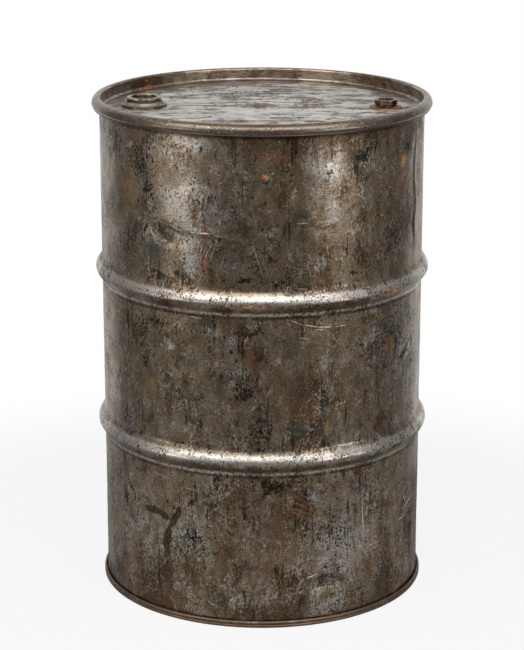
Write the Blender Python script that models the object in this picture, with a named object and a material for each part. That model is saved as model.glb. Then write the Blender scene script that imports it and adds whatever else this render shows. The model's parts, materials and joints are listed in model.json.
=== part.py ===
import math

import bmesh
import bpy

# Sizes in metres; +Z is up and the front of the drum faces -Y.

# drum
BODY_DIAMETER = 0.5740
SHEET = 0.0012
HEIGHT = 0.8910
TURN_STEPS = 40

# rolling hoops, pressed out of the body
HOOP_RISE = 0.0115
HOOP_WIDTH = 0.0460
HOOP_HEIGHTS = (0.3029, 0.5857)
HOOP_STEPS = 6
HOOP_FULLNESS = 1.65

# top chime, the rolled seam between body and top head
TOP_CHIME_OVER_HOOP = 0.0018
TOP_CHIME_DEPTH = 0.0202
TOP_CREST_OUT = 0.0008
TOP_CREST_FLAT = 0.0020
TOP_CREST_DROP = 0.0036
TOP_WIDEST_DROP = 0.0125
TOP_CURL_RADIUS = 0.0040
TOP_COVER_HOOK = 0.0095
TOP_BODY_HOOK = 0.0100
TOP_BODY_HOOK_WIDTH = 0.0066
TOP_BODY_HOOK_DROP = 0.0032

# bottom chime, smaller and squarer than the top one
BOTTOM_CHIME_RISE = 0.0063
BOTTOM_CHIME_DEPTH = 0.0125
BOTTOM_CORNER = 0.0024
BOTTOM_COVER_HOOK = 0.0060
BOTTOM_BODY_HOOK = 0.0040
BOTTOM_BODY_HOOK_WIDTH = 0.0034
BOTTOM_BODY_HOOK_RISE = 0.0028

# heads, set down inside the body
TOP_RECESS = 0.0230
BOTTOM_RECESS = 0.0200
HEAD_CORNER = 0.0060

# clearance between pieces that touch
GAP = 0.0003

# bung fittings, diametrically opposite each other
BUNG_LINE_TURN = math.radians(-2.2)
FITTING_STEPS = 24
GASKET_STEPS = 16
NECK_WALL = 0.0024
CRIMP_WIDTH = 0.0026
CRIMP_THICKNESS = 0.0012
BASE_BELOW_BARREL = 0.0005

LARGE_BUNG = {
    "name": "large",
    "side": -1,
    "from_wall": 0.0753,
    "boss_foot": 0.0790,
    "boss_across": 0.0760,
    "boss_rise": 0.0050,
    "shoulder_radius": 0.0350,
    "shoulder_rise": 0.0076,
    "neck_rise": 0.0102,
    "thread_radius": 0.0280,
    "thread_pitch": 0.002309,
    "turns": 6,
    "gasket_radius": 0.0303,
    "gasket_thickness": 0.0012,
    "seat_gasket_radius": 0.0332,
    "seat_gasket_thickness": 0.0024,
}
LARGE_PLUG = {
    "rim_diameter": 0.0620,
    "rim_height": 0.0042,
    "rim_round": 0.0011,
    "recess_radius": 0.0222,
    "recess_depth": 0.0147,
    "floor": 0.0022,
    "barrel_wall": 0.0034,
    "lug_length": 0.0080,
    "lug_width": 0.0090,
    "lug_height": 0.0070,
}
SMALL_BUNG = {
    "name": "small",
    "side": 1,
    "from_wall": 0.0658,
    "boss_foot": 0.0570,
    "boss_across": 0.0540,
    "boss_rise": 0.0024,
    "shoulder_radius": 0.0215,
    "shoulder_rise": 0.0036,
    "neck_rise": 0.0039,
    "thread_radius": 0.0132,
    "thread_pitch": 0.001814,
    "turns": 5,
    "gasket_radius": 0.0176,
    "gasket_thickness": 0.0010,
    "seat_gasket_radius": 0.0205,
    "seat_gasket_thickness": 0.0009,
}
SMALL_PLUG = {
    "head_across": 0.0396,
    "head_height": 0.0085,
    "head_chamfer": 0.0010,
    "recess_radius": 0.0136,
    "recess_depth": 0.0070,
}

# dents in the body: angle from the front towards +X, height, half sizes, depth
DENTS = (
    {"angle": 36.0, "height": 0.819, "half_angle": 10.0, "half_height": 0.034, "depth": 0.0055},
    {"angle": -35.0, "height": 0.701, "half_angle": 10.0, "half_height": 0.022, "depth": 0.0035},
    {"angle": 63.0, "height": 0.453, "half_angle": 9.0, "half_height": 0.030, "depth": 0.0055},
    {"angle": 23.0, "height": 0.074, "half_angle": 12.0, "half_height": 0.026, "depth": 0.0060},
    {"angle": 62.5, "height": 0.124, "half_angle": 7.5, "half_height": 0.090, "depth": 0.0080},
)
DENT_CUTS = 3

# radii and levels shared by the pieces
BODY_MIDDLE = BODY_DIAMETER / 2 - SHEET / 2
WALL_MIDDLE = BODY_MIDDLE - SHEET - GAP
HOOP_RADIUS = BODY_DIAMETER / 2 + HOOP_RISE
TOP_CHIME_RADIUS = HOOP_RADIUS + TOP_CHIME_OVER_HOOP
TOP_CREST_RADIUS = BODY_DIAMETER / 2 + TOP_CREST_OUT
BOTTOM_CHIME_RADIUS = BODY_DIAMETER / 2 + BOTTOM_CHIME_RISE
TOP_PANEL = HEIGHT - TOP_RECESS
BOTTOM_PANEL = BOTTOM_RECESS


def clear_scene():
    for item in list(bpy.data.objects):
        bpy.data.objects.remove(item, do_unlink=True)
    for pool in (bpy.data.meshes, bpy.data.materials):
        for item in list(pool):
            pool.remove(item)


def metal(name, colour, roughness, metallic=1.0):
    material = bpy.data.materials.new(name)
    material.use_nodes = True
    shader = material.node_tree.nodes["Principled BSDF"]
    shader.inputs["Base Color"].default_value = (*colour, 1.0)
    shader.inputs["Roughness"].default_value = roughness
    shader.inputs["Metallic"].default_value = metallic
    material.diffuse_color = (*colour, 1.0)
    return material


def worn_steel(name):
    return metal(name, (0.16, 0.13, 0.10), 0.45)


def bare_head(name):
    return metal(name, (0.36, 0.34, 0.31), 0.38)


def fitting_steel(name):
    return metal(name, (0.30, 0.24, 0.17), 0.35)


def rusty_flange(name):
    return metal(name, (0.28, 0.15, 0.07), 0.60, 0.6)


def black_rubber(name):
    return metal(name, (0.025, 0.022, 0.020), 0.75, 0.0)


def arc(centre, half_width, half_height, start, end, steps):
    """Points (radius, height) on an elliptical arc; angles in degrees."""
    points = []
    for step in range(steps + 1):
        turn = math.radians(start + (end - start) * step / steps)
        points.append((centre[0] + half_width * math.cos(turn), centre[1] + half_height * math.sin(turn)))
    return points


def circle(radius, height, steps, start=0.0):
    points = []
    for step in range(steps):
        turn = start + 2 * math.pi * step / steps
        points.append((radius * math.cos(turn), radius * math.sin(turn), height))
    return points


def clear_circle(radius, height, steps, start=0.0):
    """A circle whose flats, and not its corners, lie at the radius."""
    return circle(radius / math.cos(math.pi / steps), height, steps, start)


def octagon(across, height):
    """An octagon with one flat to the front, cut into the fitting's steps."""
    points = []
    for step in range(FITTING_STEPS):
        turn = fitting_start() + 2 * math.pi * step / FITTING_STEPS
        from_flat = (turn + math.pi / 8) % (math.pi / 4) - math.pi / 8
        radius = across / 2 / math.cos(from_flat)
        points.append((radius * math.cos(turn), radius * math.sin(turn), height))
    return points


def fitting_start():
    return math.pi / FITTING_STEPS


def add_loops(mesh, loops, centre=(0.0, 0.0)):
    """Rings of vertices, each joined to the next by a strip of faces."""
    rings = []
    for loop in loops:
        rings.append([mesh.verts.new((x + centre[0], y + centre[1], z)) for x, y, z in loop])
    for first, second in zip(rings, rings[1:]):
        join_rings(mesh, first, second)
    return rings


def join_rings(mesh, first, second):
    count = len(first)
    for step in range(count):
        following = (step + 1) % count
        mesh.faces.new((first[step], first[following], second[following], second[step]))


def finish(mesh, name, material, place=(0.0, 0.0)):
    bmesh.ops.recalc_face_normals(mesh, faces=mesh.faces)
    data = bpy.data.meshes.new(name)
    mesh.to_mesh(data)
    mesh.free()
    data.shade_smooth()
    data.set_sharp_from_angle(angle=math.radians(35))
    item = bpy.data.objects.new(name, data)
    item.location = (place[0], place[1], 0.0)
    item.data.materials.append(material)
    bpy.context.scene.collection.objects.link(item)
    return item


def thicken(item):
    sheet = item.modifiers.new("sheet", "SOLIDIFY")
    sheet.thickness = SHEET
    sheet.offset = 0.0
    sheet.use_even_offset = True
    sheet.use_quality_normals = True


def bung_centre(bung):
    along = bung["side"] * (WALL_MIDDLE - SHEET / 2 - bung["from_wall"])
    return (along * math.cos(BUNG_LINE_TURN), along * math.sin(BUNG_LINE_TURN))


def bung_levels(bung):
    """Heights of the faces stacked in one bung, from the panel upwards."""
    crimp_under = TOP_PANEL + bung["neck_rise"] + GAP
    crimp_top = crimp_under + CRIMP_THICKNESS
    gasket_under = crimp_top + GAP
    gasket_top = gasket_under + bung["gasket_thickness"]
    barrel_end = crimp_top - bung["turns"] * bung["thread_pitch"]
    seat = TOP_PANEL + bung["boss_rise"] - SHEET - GAP
    return {
        "crimp_under": crimp_under,
        "crimp_top": crimp_top,
        "gasket_under": gasket_under,
        "gasket_top": gasket_top,
        "plug_under": gasket_top + GAP,
        "barrel_end": barrel_end,
        "base_under": barrel_end - BASE_BELOW_BARREL,
        "seat": seat,
    }


def neck_radius(bung):
    return bung["thread_radius"] + NECK_WALL


def hoop_profile(height):
    """One hoop, from its upper end down to its lower end."""
    points = []
    for step in range(HOOP_STEPS + 1):
        along = 1 - 2 * step / HOOP_STEPS
        bulge = max(math.cos(along * math.pi / 2), 0.0) ** HOOP_FULLNESS
        points.append((BODY_MIDDLE + HOOP_RISE * bulge, height + along * HOOP_WIDTH / 2))
    return points


def body_profile():
    """Middle of the body's sheet, from the top hook down to the bottom hook."""
    half = TOP_BODY_HOOK_WIDTH / 2
    top = HEIGHT - TOP_BODY_HOOK_DROP - half
    over = arc((BODY_MIDDLE + half, top), half, half, 0, 180, 3)
    points = [(over[0][0], top - TOP_BODY_HOOK), *over]
    for height in sorted(HOOP_HEIGHTS, reverse=True):
        points.extend(hoop_profile(height))
    half = BOTTOM_BODY_HOOK_WIDTH / 2
    low = BOTTOM_BODY_HOOK_RISE + half
    under = arc((BODY_MIDDLE + half, low), half, half, 180, 360, 2)
    points.extend(under)
    points.append((under[-1][0], low + BOTTOM_BODY_HOOK))
    return points


def top_chime_profile():
    """Middle of the top head's sheet, from the hook's end in to the panel."""
    outer = TOP_CHIME_RADIUS - SHEET / 2
    hook = BODY_MIDDLE + SHEET + 3 * GAP
    crest = TOP_CREST_RADIUS + TOP_CREST_FLAT
    low = HEIGHT - TOP_CHIME_DEPTH + SHEET / 2
    widest = HEIGHT - TOP_WIDEST_DROP
    curl = TOP_CURL_RADIUS
    points = [(hook, HEIGHT - TOP_COVER_HOOK)]
    points.extend(arc((hook + curl, low + curl), curl, curl, 180, 270, 2))
    lower = arc((hook + curl, widest), outer - hook - curl, widest - low, 270, 360, 2)
    points.extend(lower[1:])
    upper = arc((crest, widest), outer - crest, HEIGHT - SHEET / 2 - widest, 0, 90, 3)
    points.extend(upper[1:])
    drop = TOP_CREST_DROP
    centre = (TOP_CREST_RADIUS, HEIGHT - SHEET / 2 - drop)
    points.extend(arc(centre, TOP_CREST_RADIUS - WALL_MIDDLE, drop, 90, 180, 2))
    centre = (WALL_MIDDLE - HEAD_CORNER, TOP_PANEL - SHEET / 2 + HEAD_CORNER)
    points.extend(arc(centre, HEAD_CORNER, HEAD_CORNER, 360, 270, 2))
    return points


def bottom_chime_profile():
    """Middle of the bottom head's sheet, from the hook's end in to the panel."""
    outer = BOTTOM_CHIME_RADIUS - SHEET / 2
    hook = BODY_MIDDLE + SHEET + 2 * GAP
    corner = BOTTOM_CORNER
    top = BOTTOM_CHIME_DEPTH - SHEET / 2
    low = SHEET / 2
    half = (outer - hook) / 2
    points = [(hook, BOTTOM_COVER_HOOK)]
    points.extend(arc((hook + half, top - half), half, half, 180, 0, 3))
    points.extend(arc((outer - corner, low + corner), corner, corner, 360, 270, 2))
    points.extend(arc((WALL_MIDDLE + corner, low + corner), corner, corner, 270, 180, 1))
    centre = (WALL_MIDDLE - HEAD_CORNER, BOTTOM_PANEL + SHEET / 2 - HEAD_CORNER)
    points.extend(arc(centre, HEAD_CORNER, HEAD_CORNER, 0, 90, 2))
    return points


def dent_depth(dent, angle, height):
    across = (angle - dent["angle"]) / dent["half_angle"]
    along = (height - dent["height"]) / dent["half_height"]
    reach = across * across + along * along
    if reach >= 1.0:
        return 0.0
    return dent["depth"] * (1.0 - reach) ** 1.5


def front_angle(point):
    return math.degrees(math.atan2(point.x, -point.y))


def near_dent(dent, point):
    step = 180 / TURN_STEPS
    wide = abs(front_angle(point) - dent["angle"]) < dent["half_angle"] + step
    return wide and abs(point.z - dent["height"]) < dent["half_height"]


def cut_level(mesh, faces, height):
    geometry = list({item for face in faces for item in (face, *face.edges, *face.verts)})
    bmesh.ops.bisect_plane(mesh, geom=geometry, plane_co=(0, 0, height), plane_no=(0, 0, 1), dist=1e-6)


def cut_angle(mesh, faces, angle):
    turn = math.radians(angle)
    normal = (math.cos(turn), math.sin(turn), 0)
    geometry = list({item for face in faces for item in (face, *face.edges, *face.verts)})
    bmesh.ops.bisect_plane(mesh, geom=geometry, plane_co=(0, 0, 0), plane_no=normal, dist=1e-6)


def wall_faces(mesh, dent):
    """Plain wall faces that cross the dent's angles and heights."""
    found = []
    for face in mesh.faces:
        radii = [math.hypot(vert.co.x, vert.co.y) for vert in face.verts]
        heights = [vert.co.z for vert in face.verts]
        plain = max(radii) - min(radii) < 0.002 and abs(max(radii) - BODY_MIDDLE) < 0.002
        crosses = min(heights) < dent["height"] < max(heights)
        point = face.calc_center_median()
        angle = abs(front_angle(point) - dent["angle"])
        if plain and crosses and angle < dent["half_angle"] + 180 / TURN_STEPS:
            found.append(face)
    return found


def press_dent(mesh, dent):
    """Cut the wall finer around one dent, then push it inwards."""
    low = dent["height"] - dent["half_height"]
    high = dent["height"] + dent["half_height"]
    for height in (low, high):
        cut_level(mesh, wall_faces(mesh, dent), height)
    for cut in range(1, DENT_CUTS + 1):
        height = low + (high - low) * cut / (DENT_CUTS + 1)
        faces = [face for face in mesh.faces if near_dent(dent, face.calc_center_median())]
        cut_level(mesh, faces, height)
    for cut in range(DENT_CUTS):
        angle = dent["angle"] + dent["half_angle"] * (2 * cut / (DENT_CUTS - 1) - 1) * 0.5
        faces = [face for face in mesh.faces if near_dent(dent, face.calc_center_median())]
        cut_angle(mesh, faces, angle)
    for vert in mesh.verts:
        depth = dent_depth(dent, front_angle(vert.co), vert.co.z)
        radius = math.hypot(vert.co.x, vert.co.y)
        if depth > 0 and abs(radius - BODY_MIDDLE) < 0.002:
            vert.co.x *= (radius - depth) / radius
            vert.co.y *= (radius - depth) / radius


def build_body():
    mesh = bmesh.new()
    add_loops(mesh, [circle(radius, height, TURN_STEPS) for radius, height in body_profile()])
    for dent in DENTS:
        press_dent(mesh, dent)
    thicken(finish(mesh, "body_shell", worn_steel("body_steel")))


def boss_loops(bung):
    """The octagonal boss drawn up in the head around one bung, foot first."""
    low = TOP_PANEL - SHEET / 2
    start = fitting_start()
    end_radius = neck_radius(bung) + SHEET / 2 + 2 * GAP
    return [
        octagon(bung["boss_foot"] - SHEET, low),
        octagon(bung["boss_across"] - SHEET, low + bung["boss_rise"]),
        circle(bung["shoulder_radius"] - SHEET / 2, low + bung["shoulder_rise"], FITTING_STEPS, start),
        circle(end_radius, low + bung["neck_rise"], FITTING_STEPS, start),
    ]


def ring_edges(mesh, ring):
    edges = []
    for first, second in zip(ring, ring[1:] + ring[:1]):
        edges.append(mesh.edges.get((first, second)))
    return edges


def build_top_head():
    mesh = bmesh.new()
    rings = add_loops(mesh, [circle(radius, height, TURN_STEPS) for radius, height in top_chime_profile()])
    border = ring_edges(mesh, rings[-1])
    for bung in (LARGE_BUNG, SMALL_BUNG):
        boss = add_loops(mesh, boss_loops(bung), bung_centre(bung))
        border.extend(ring_edges(mesh, boss[0]))
    bmesh.ops.triangle_fill(mesh, edges=border, use_beauty=True)
    thicken(finish(mesh, "top_head", bare_head("top_head_steel")))


def build_bottom_head():
    mesh = bmesh.new()
    profile = bottom_chime_profile()
    rings = add_loops(mesh, [circle(radius, height, TURN_STEPS) for radius, height in profile])
    mesh.faces.new(rings[-1])
    thicken(finish(mesh, "bottom_head", worn_steel("bottom_head_steel")))


def build_flange(bung, name):
    """Threaded insert: octagonal base under the head, neck crimped over the head's sheet."""
    level = bung_levels(bung)
    start = fitting_start()
    neck = neck_radius(bung)
    across = bung["boss_across"] - 2 * SHEET - 4 * GAP
    crimp = neck + CRIMP_WIDTH
    edge = CRIMP_THICKNESS / 3
    bore = bung["thread_radius"]
    mesh = bmesh.new()
    rings = add_loops(mesh, [
        octagon(across, level["base_under"]),
        octagon(across, level["seat"]),
        circle(neck, level["seat"], FITTING_STEPS, start),
        circle(neck, level["crimp_under"], FITTING_STEPS, start),
        circle(crimp, level["crimp_under"], FITTING_STEPS, start),
        circle(crimp, level["crimp_top"] - edge, FITTING_STEPS, start),
        circle(crimp - 2 * edge, level["crimp_top"], FITTING_STEPS, start),
        clear_circle(bore, level["crimp_top"], FITTING_STEPS, start),
        clear_circle(bore, level["base_under"], FITTING_STEPS, start),
    ])
    join_rings(mesh, rings[-1], rings[0])
    finish(mesh, name, rusty_flange(name + "_steel"), bung_centre(bung))


def build_ring(name, bung, inner, outer, low, high):
    mesh = bmesh.new()
    rings = add_loops(mesh, [
        clear_circle(inner, low, GASKET_STEPS),
        circle(outer, low, GASKET_STEPS),
        circle(outer, high, GASKET_STEPS),
        clear_circle(inner, high, GASKET_STEPS),
    ])
    join_rings(mesh, rings[-1], rings[0])
    finish(mesh, name, black_rubber(name + "_rubber"), bung_centre(bung))


def build_gaskets(bung):
    level = bung_levels(bung)
    low = level["seat"] + GAP
    high = low + bung["seat_gasket_thickness"]
    name = bung["name"]
    build_ring(name + "_flange_gasket", bung, neck_radius(bung) + GAP, bung["seat_gasket_radius"], low, high)
    low = level["gasket_under"]
    high = level["gasket_top"]
    build_ring(name + "_plug_gasket", bung, bung["thread_radius"] + GAP, bung["gasket_radius"], low, high)


def build_lug(plug, floor, side):
    """Block that a bung wrench turns the plug by, sunk into the wall and floor."""
    bury = 0.0012
    inner = plug["recess_radius"] - plug["lug_length"]
    outer = plug["recess_radius"] + bury
    half = plug["lug_width"] / 2
    low = floor - bury
    high = floor + plug["lug_height"]
    mesh = bmesh.new()
    corners = []
    for height in (low, high):
        for along, across in ((inner, -half), (outer, -half), (outer, half), (inner, half)):
            corners.append(mesh.verts.new((side * along, across, height)))
    for face in ((0, 1, 2, 3), (7, 6, 5, 4), (0, 4, 5, 1), (1, 5, 6, 2), (2, 6, 7, 3), (3, 7, 4, 0)):
        mesh.faces.new([corners[index] for index in face])
    return mesh


def build_large_plug():
    bung = LARGE_BUNG
    plug = LARGE_PLUG
    level = bung_levels(bung)
    start = fitting_start()
    steps = FITTING_STEPS
    under = level["plug_under"]
    top = under + plug["rim_height"]
    rim = plug["rim_diameter"] / 2
    edge = plug["rim_round"]
    recess = plug["recess_radius"]
    floor = top - plug["recess_depth"]
    barrel = bung["thread_radius"] - GAP
    inside = barrel - plug["barrel_wall"]
    mesh = bmesh.new()
    rings = add_loops(mesh, [
        circle(recess - edge, floor, steps, start),
        circle(recess, top - edge, steps, start),
        circle(recess + edge, top, steps, start),
        circle(rim - edge, top, steps, start),
        circle(rim, top - edge, steps, start),
        circle(rim, under + edge, steps, start),
        circle(rim - edge, under, steps, start),
        circle(barrel, under, steps, start),
        circle(barrel, level["barrel_end"], steps, start),
        circle(inside, level["barrel_end"], steps, start),
        circle(inside, floor - plug["floor"], steps, start),
    ])
    mesh.faces.new(rings[0])
    mesh.faces.new(rings[-1])
    item = finish(mesh, "large_plug", fitting_steel("large_plug_steel"), bung_centre(bung))
    for side in (-1, 1):
        lug = finish(build_lug(plug, floor, side), "lug_block", fitting_steel("lug_steel"), bung_centre(bung))
        lug.hide_render = True
        lug.display_type = "WIRE"
        joint = item.modifiers.new("lug", "BOOLEAN")
        joint.operation = "UNION"
        joint.solver = "EXACT"
        joint.object = lug


def build_small_plug():
    bung = SMALL_BUNG
    plug = SMALL_PLUG
    level = bung_levels(bung)
    start = fitting_start()
    steps = FITTING_STEPS
    under = level["plug_under"]
    top = under + plug["head_height"]
    across = plug["head_across"]
    edge = plug["head_chamfer"]
    barrel = bung["thread_radius"] - GAP
    mesh = bmesh.new()
    rings = add_loops(mesh, [
        circle(plug["recess_radius"] - edge / 2, top - plug["recess_depth"], steps, start),
        circle(plug["recess_radius"], top, steps, start),
        octagon(across - 2 * edge, top),
        octagon(across, top - edge),
        octagon(across, under + edge / 2),
        octagon(across - edge, under),
        circle(barrel, under, steps, start),
        circle(barrel, level["barrel_end"], steps, start),
    ])
    mesh.faces.new(rings[0])
    mesh.faces.new(rings[-1])
    finish(mesh, "small_plug", fitting_steel("small_plug_steel"), bung_centre(bung))


def build_all():
    clear_scene()
    build_body()
    build_top_head()
    build_bottom_head()
    for bung in (LARGE_BUNG, SMALL_BUNG):
        build_flange(bung, bung["name"] + "_flange")
        build_gaskets(bung)
    build_large_plug()
    build_small_plug()


build_all()
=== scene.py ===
import json
import math

import bmesh
import bpy
import numpy as np
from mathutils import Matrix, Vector, noise
from mathutils.geometry import delaunay_2d_cdt

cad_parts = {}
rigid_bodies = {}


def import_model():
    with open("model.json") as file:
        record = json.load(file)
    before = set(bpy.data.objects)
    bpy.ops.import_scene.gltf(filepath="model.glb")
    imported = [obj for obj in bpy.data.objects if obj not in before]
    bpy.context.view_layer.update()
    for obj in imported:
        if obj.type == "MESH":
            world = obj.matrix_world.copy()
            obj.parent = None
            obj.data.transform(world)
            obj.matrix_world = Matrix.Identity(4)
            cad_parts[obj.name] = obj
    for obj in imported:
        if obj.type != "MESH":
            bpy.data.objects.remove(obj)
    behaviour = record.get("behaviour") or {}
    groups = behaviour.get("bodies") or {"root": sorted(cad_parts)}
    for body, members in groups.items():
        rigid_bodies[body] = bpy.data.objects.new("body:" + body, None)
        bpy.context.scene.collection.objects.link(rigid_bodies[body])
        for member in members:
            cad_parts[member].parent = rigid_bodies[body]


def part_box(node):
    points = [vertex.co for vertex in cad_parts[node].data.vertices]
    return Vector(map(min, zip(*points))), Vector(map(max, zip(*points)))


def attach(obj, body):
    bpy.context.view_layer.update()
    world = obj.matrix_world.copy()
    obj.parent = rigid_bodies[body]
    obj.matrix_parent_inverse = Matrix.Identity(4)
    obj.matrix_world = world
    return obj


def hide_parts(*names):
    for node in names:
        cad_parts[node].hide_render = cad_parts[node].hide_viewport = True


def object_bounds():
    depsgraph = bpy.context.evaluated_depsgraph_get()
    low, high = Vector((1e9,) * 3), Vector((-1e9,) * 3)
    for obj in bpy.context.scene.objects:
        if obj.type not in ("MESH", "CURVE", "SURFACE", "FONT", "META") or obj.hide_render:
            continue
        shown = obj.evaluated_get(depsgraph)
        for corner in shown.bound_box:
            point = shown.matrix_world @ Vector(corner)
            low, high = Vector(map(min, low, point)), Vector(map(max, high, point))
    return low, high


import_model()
cadLow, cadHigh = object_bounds()
scene = bpy.context.scene


# lines and skins

def arcLine(centre, wide, tall, start, end, steps):
    turns = np.radians(np.linspace(start, end, steps + 1))
    return [(centre[0] + wide * math.cos(turn), centre[1] + tall * math.sin(turn)) for turn in turns]


def roundedLine(points, steps):  # a smooth curve through the points
    line = np.array([points[0], *points, points[-1]], float)
    made = []
    for i in range(1, len(line) - 2):
        before, here, there, after = line[i - 1:i + 3]
        for t in np.arange(steps) / steps:
            made.append(0.5 * (2 * here + (there - before) * t + (2 * before - 5 * here + 4 * there - after) * t ** 2
                               + (3 * here - before - 3 * there + after) * t ** 3))
    made.append(line[-1])
    return [tuple(point) for point in made]


def offsetLine(points, reach):  # to the right of the way the line runs
    line = np.array(points)
    slope = np.gradient(line, axis=0)
    slope /= np.linalg.norm(slope, axis=1)[:, None]
    return [tuple(point) for point in line + reach * np.stack([slope[:, 1], -slope[:, 0]], axis=1)]


def roundRing(radius, height, steps, centre=(0.0, 0.0)):
    turns = np.arange(steps) * 2 * math.pi / steps
    return np.stack([centre[0] + radius * np.cos(turns), centre[1] + radius * np.sin(turns), np.full(steps, height)],
                    1)


def roundRings(line, steps, centre=(0.0, 0.0)):
    return [roundRing(radius, height, steps, centre) for radius, height in line]


def octagonRing(across, height, steps, centre, roundness=0.0, corner=1.055):  # one flat to the front
    turns = np.arange(steps) * 2 * math.pi / steps
    fromFlat = (turns + math.pi / 8) % (math.pi / 4) - math.pi / 8
    radii = across / 2 * np.minimum(1 / np.cos(fromFlat), corner)
    radii = radii * (1 - roundness) + across / 2 * roundness
    return np.stack([centre[0] + radii * np.cos(turns), centre[1] + radii * np.sin(turns), np.full(steps, height)], 1)


def makePiece(name, points, faces, sharp=40):
    mesh = bpy.data.meshes.new(name)
    mesh.from_pydata([tuple(point) for point in points], [], faces)
    mesh.shade_smooth()
    mesh.set_sharp_from_angle(angle=math.radians(sharp))
    piece = bpy.data.objects.new(name, mesh)
    scene.collection.objects.link(piece)
    return piece


def skinOf(rings, capStart=False, capEnd=False, closed=False, start=0):  # points and faces through a row of rings
    rings = np.array(rings)
    rows, columns = rings.shape[:2]
    index = start + np.arange(rows * columns).reshape(rows, columns)
    if closed:
        index = np.vstack([index, index[:1]])
    following = np.roll(index, -1, axis=1)
    faces = np.stack([index[:-1], following[:-1], following[1:], index[1:]], -1).reshape(-1, 4).tolist()
    if capStart:
        faces.append(index[0][::-1].tolist())
    if capEnd:
        faces.append(index[-1].tolist())
    return rings.reshape(-1, 3), faces


def turned(name, line, steps, centre=(0.0, 0.0), sharp=40, **ends):
    return makePiece(name, *skinOf(roundRings(line, steps, centre), **ends), sharp)


def smoothStep(value, low, high):
    share = np.clip((value - low) / (high - low), 0, 1)
    return share * share * (3 - 2 * share)


def wander(x, y, z, size, seed=0.0):  # smooth noise from -1 to 1 at each point
    return np.array([noise.noise(Vector((a / size + seed, b / size, c / size))) for a, b, c in zip(x, y, z)])


def middleOf(node):
    low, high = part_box(node)
    return ((low.x + high.x) / 2, (low.y + high.y) / 2)


# shader sheets

class Wire:
    def __init__(self, sheet, socket):
        self.sheet, self.socket = sheet, socket

    def __add__(self, other): return self.sheet.maths("ADD", self, other)
    def __radd__(self, other): return self.sheet.maths("ADD", other, self)
    def __sub__(self, other): return self.sheet.maths("SUBTRACT", self, other)
    def __rsub__(self, other): return self.sheet.maths("SUBTRACT", other, self)
    def __mul__(self, other): return self.sheet.maths("MULTIPLY", self, other)
    def __rmul__(self, other): return self.sheet.maths("MULTIPLY", other, self)
    def __truediv__(self, other): return self.sheet.maths("DIVIDE", self, other)


class Sheet:
    def __init__(self, tree):
        self.tree = tree
        tree.nodes.clear()

    def node(self, kind, settings=None, inputs=None, output=0):
        made = self.tree.nodes.new(kind)
        for key, value in (settings or {}).items():
            setattr(made, key, value)
        for key, value in (inputs or {}).items():
            if isinstance(value, Wire):
                self.tree.links.new(value.socket, made.inputs[key])
            else:
                made.inputs[key].default_value = value
        return Wire(self, made.outputs[output]) if len(made.outputs) else None

    def maths(self, operation, first, second=0.0):
        return self.node("ShaderNodeMath", {"operation": operation}, {0: first, 1: second})

    def highest(self, first, second): return self.maths("MAXIMUM", first, second)

    def fade(self, value, low, high):  # 0 below low, 1 above high, smooth between
        return self.node("ShaderNodeMapRange", {"interpolation_type": "SMOOTHSTEP"},
                         {"Value": value, "From Min": low, "From Max": high, "To Min": 0.0, "To Max": 1.0})

    def fall(self, value, low, high): return 1 - self.fade(value, low, high)

    def band(self, value, low, lowFull, highFull, high):
        return self.fade(value, low, lowFull) * self.fall(value, highFull, high)

    def place(self): return self.node("ShaderNodeTexCoord", output=3)

    def parts(self, vector):
        split = self.tree.nodes.new("ShaderNodeSeparateXYZ")
        self.tree.links.new(vector.socket, split.inputs[0])
        return [Wire(self, split.outputs[i]) for i in range(3)]

    def joined(self, x, y, z=0.0): return self.node("ShaderNodeCombineXYZ", None, {0: x, 1: y, 2: z})

    def length(self, vector): return self.node("ShaderNodeVectorMath", {"operation": "LENGTH"}, {0: vector}, 1)

    def noise(self, place, start, scale, detail, rough, stir=0.0, kind="3D"):
        moved = self.node("ShaderNodeMapping", None, {"Vector": place, "Location": start, "Scale": scale})
        return self.node("ShaderNodeTexNoise", {"noise_dimensions": kind},
                         {"Vector": moved, "Scale": 1.0, "Detail": detail, "Roughness": rough, "Distortion": stir})

    def grain(self, place, scale, tall=1.0, detail=3.0, rough=0.55, seed=0.0, stir=0.0):
        return self.noise(place, (seed, seed * 0.7, seed * 1.3), (scale, scale, scale * tall), detail, rough, stir)

    def hairs(self, place, turn, seed, scale, stir=0.0):  # long thin noise, turned by some degrees
        turned = self.node("ShaderNodeMapping", None, {"Vector": place, "Rotation": (0, 0, math.radians(turn))})
        return self.noise(turned, (seed, seed, 0), scale, 1.0, 0.5, stir, "2D")

    def cracks(self, centred, low, high): return self.fall(self.maths("ABSOLUTE", centred), low, high)

    def mark(self, flat, across, along, wide, tall):  # distance from a placed ellipse, 1 at its edge
        moved = self.node("ShaderNodeMapping", {"vector_type": "TEXTURE"},
                          {"Vector": flat, "Location": (across, along, 0), "Scale": (wide, tall, 1)})
        return self.length(moved)

    def painted(self, name, output=2):
        return self.node("ShaderNodeAttribute", {"attribute_name": name}, output=output)

    def blend(self, first, second, factor):
        first = (*first, 1) if isinstance(first, tuple) else first
        second = (*second, 1) if isinstance(second, tuple) else second
        return self.node("ShaderNodeMix", {"data_type": "RGBA"}, {0: factor, 6: first, 7: second}, 2)

    def lerp(self, first, second, factor):
        return self.node("ShaderNodeMix", {"data_type": "FLOAT"}, {0: factor, 2: first, 3: second})

    def bump(self, height, strength, distance, normal=None):
        inputs = {"Height": height, "Strength": strength, "Distance": distance}
        if normal:
            inputs["Normal"] = normal
        return self.node("ShaderNodeBump", None, inputs)

    def finishAs(self, **inputs):
        named = {"colour": "Base Color", "roughness": "Roughness", "metal": "Metallic", "normal": "Normal"}
        shader = self.node("ShaderNodeBsdfPrincipled", None, {named[key]: value for key, value in inputs.items()})
        self.node("ShaderNodeOutputMaterial", None, {"Surface": shader})


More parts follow.
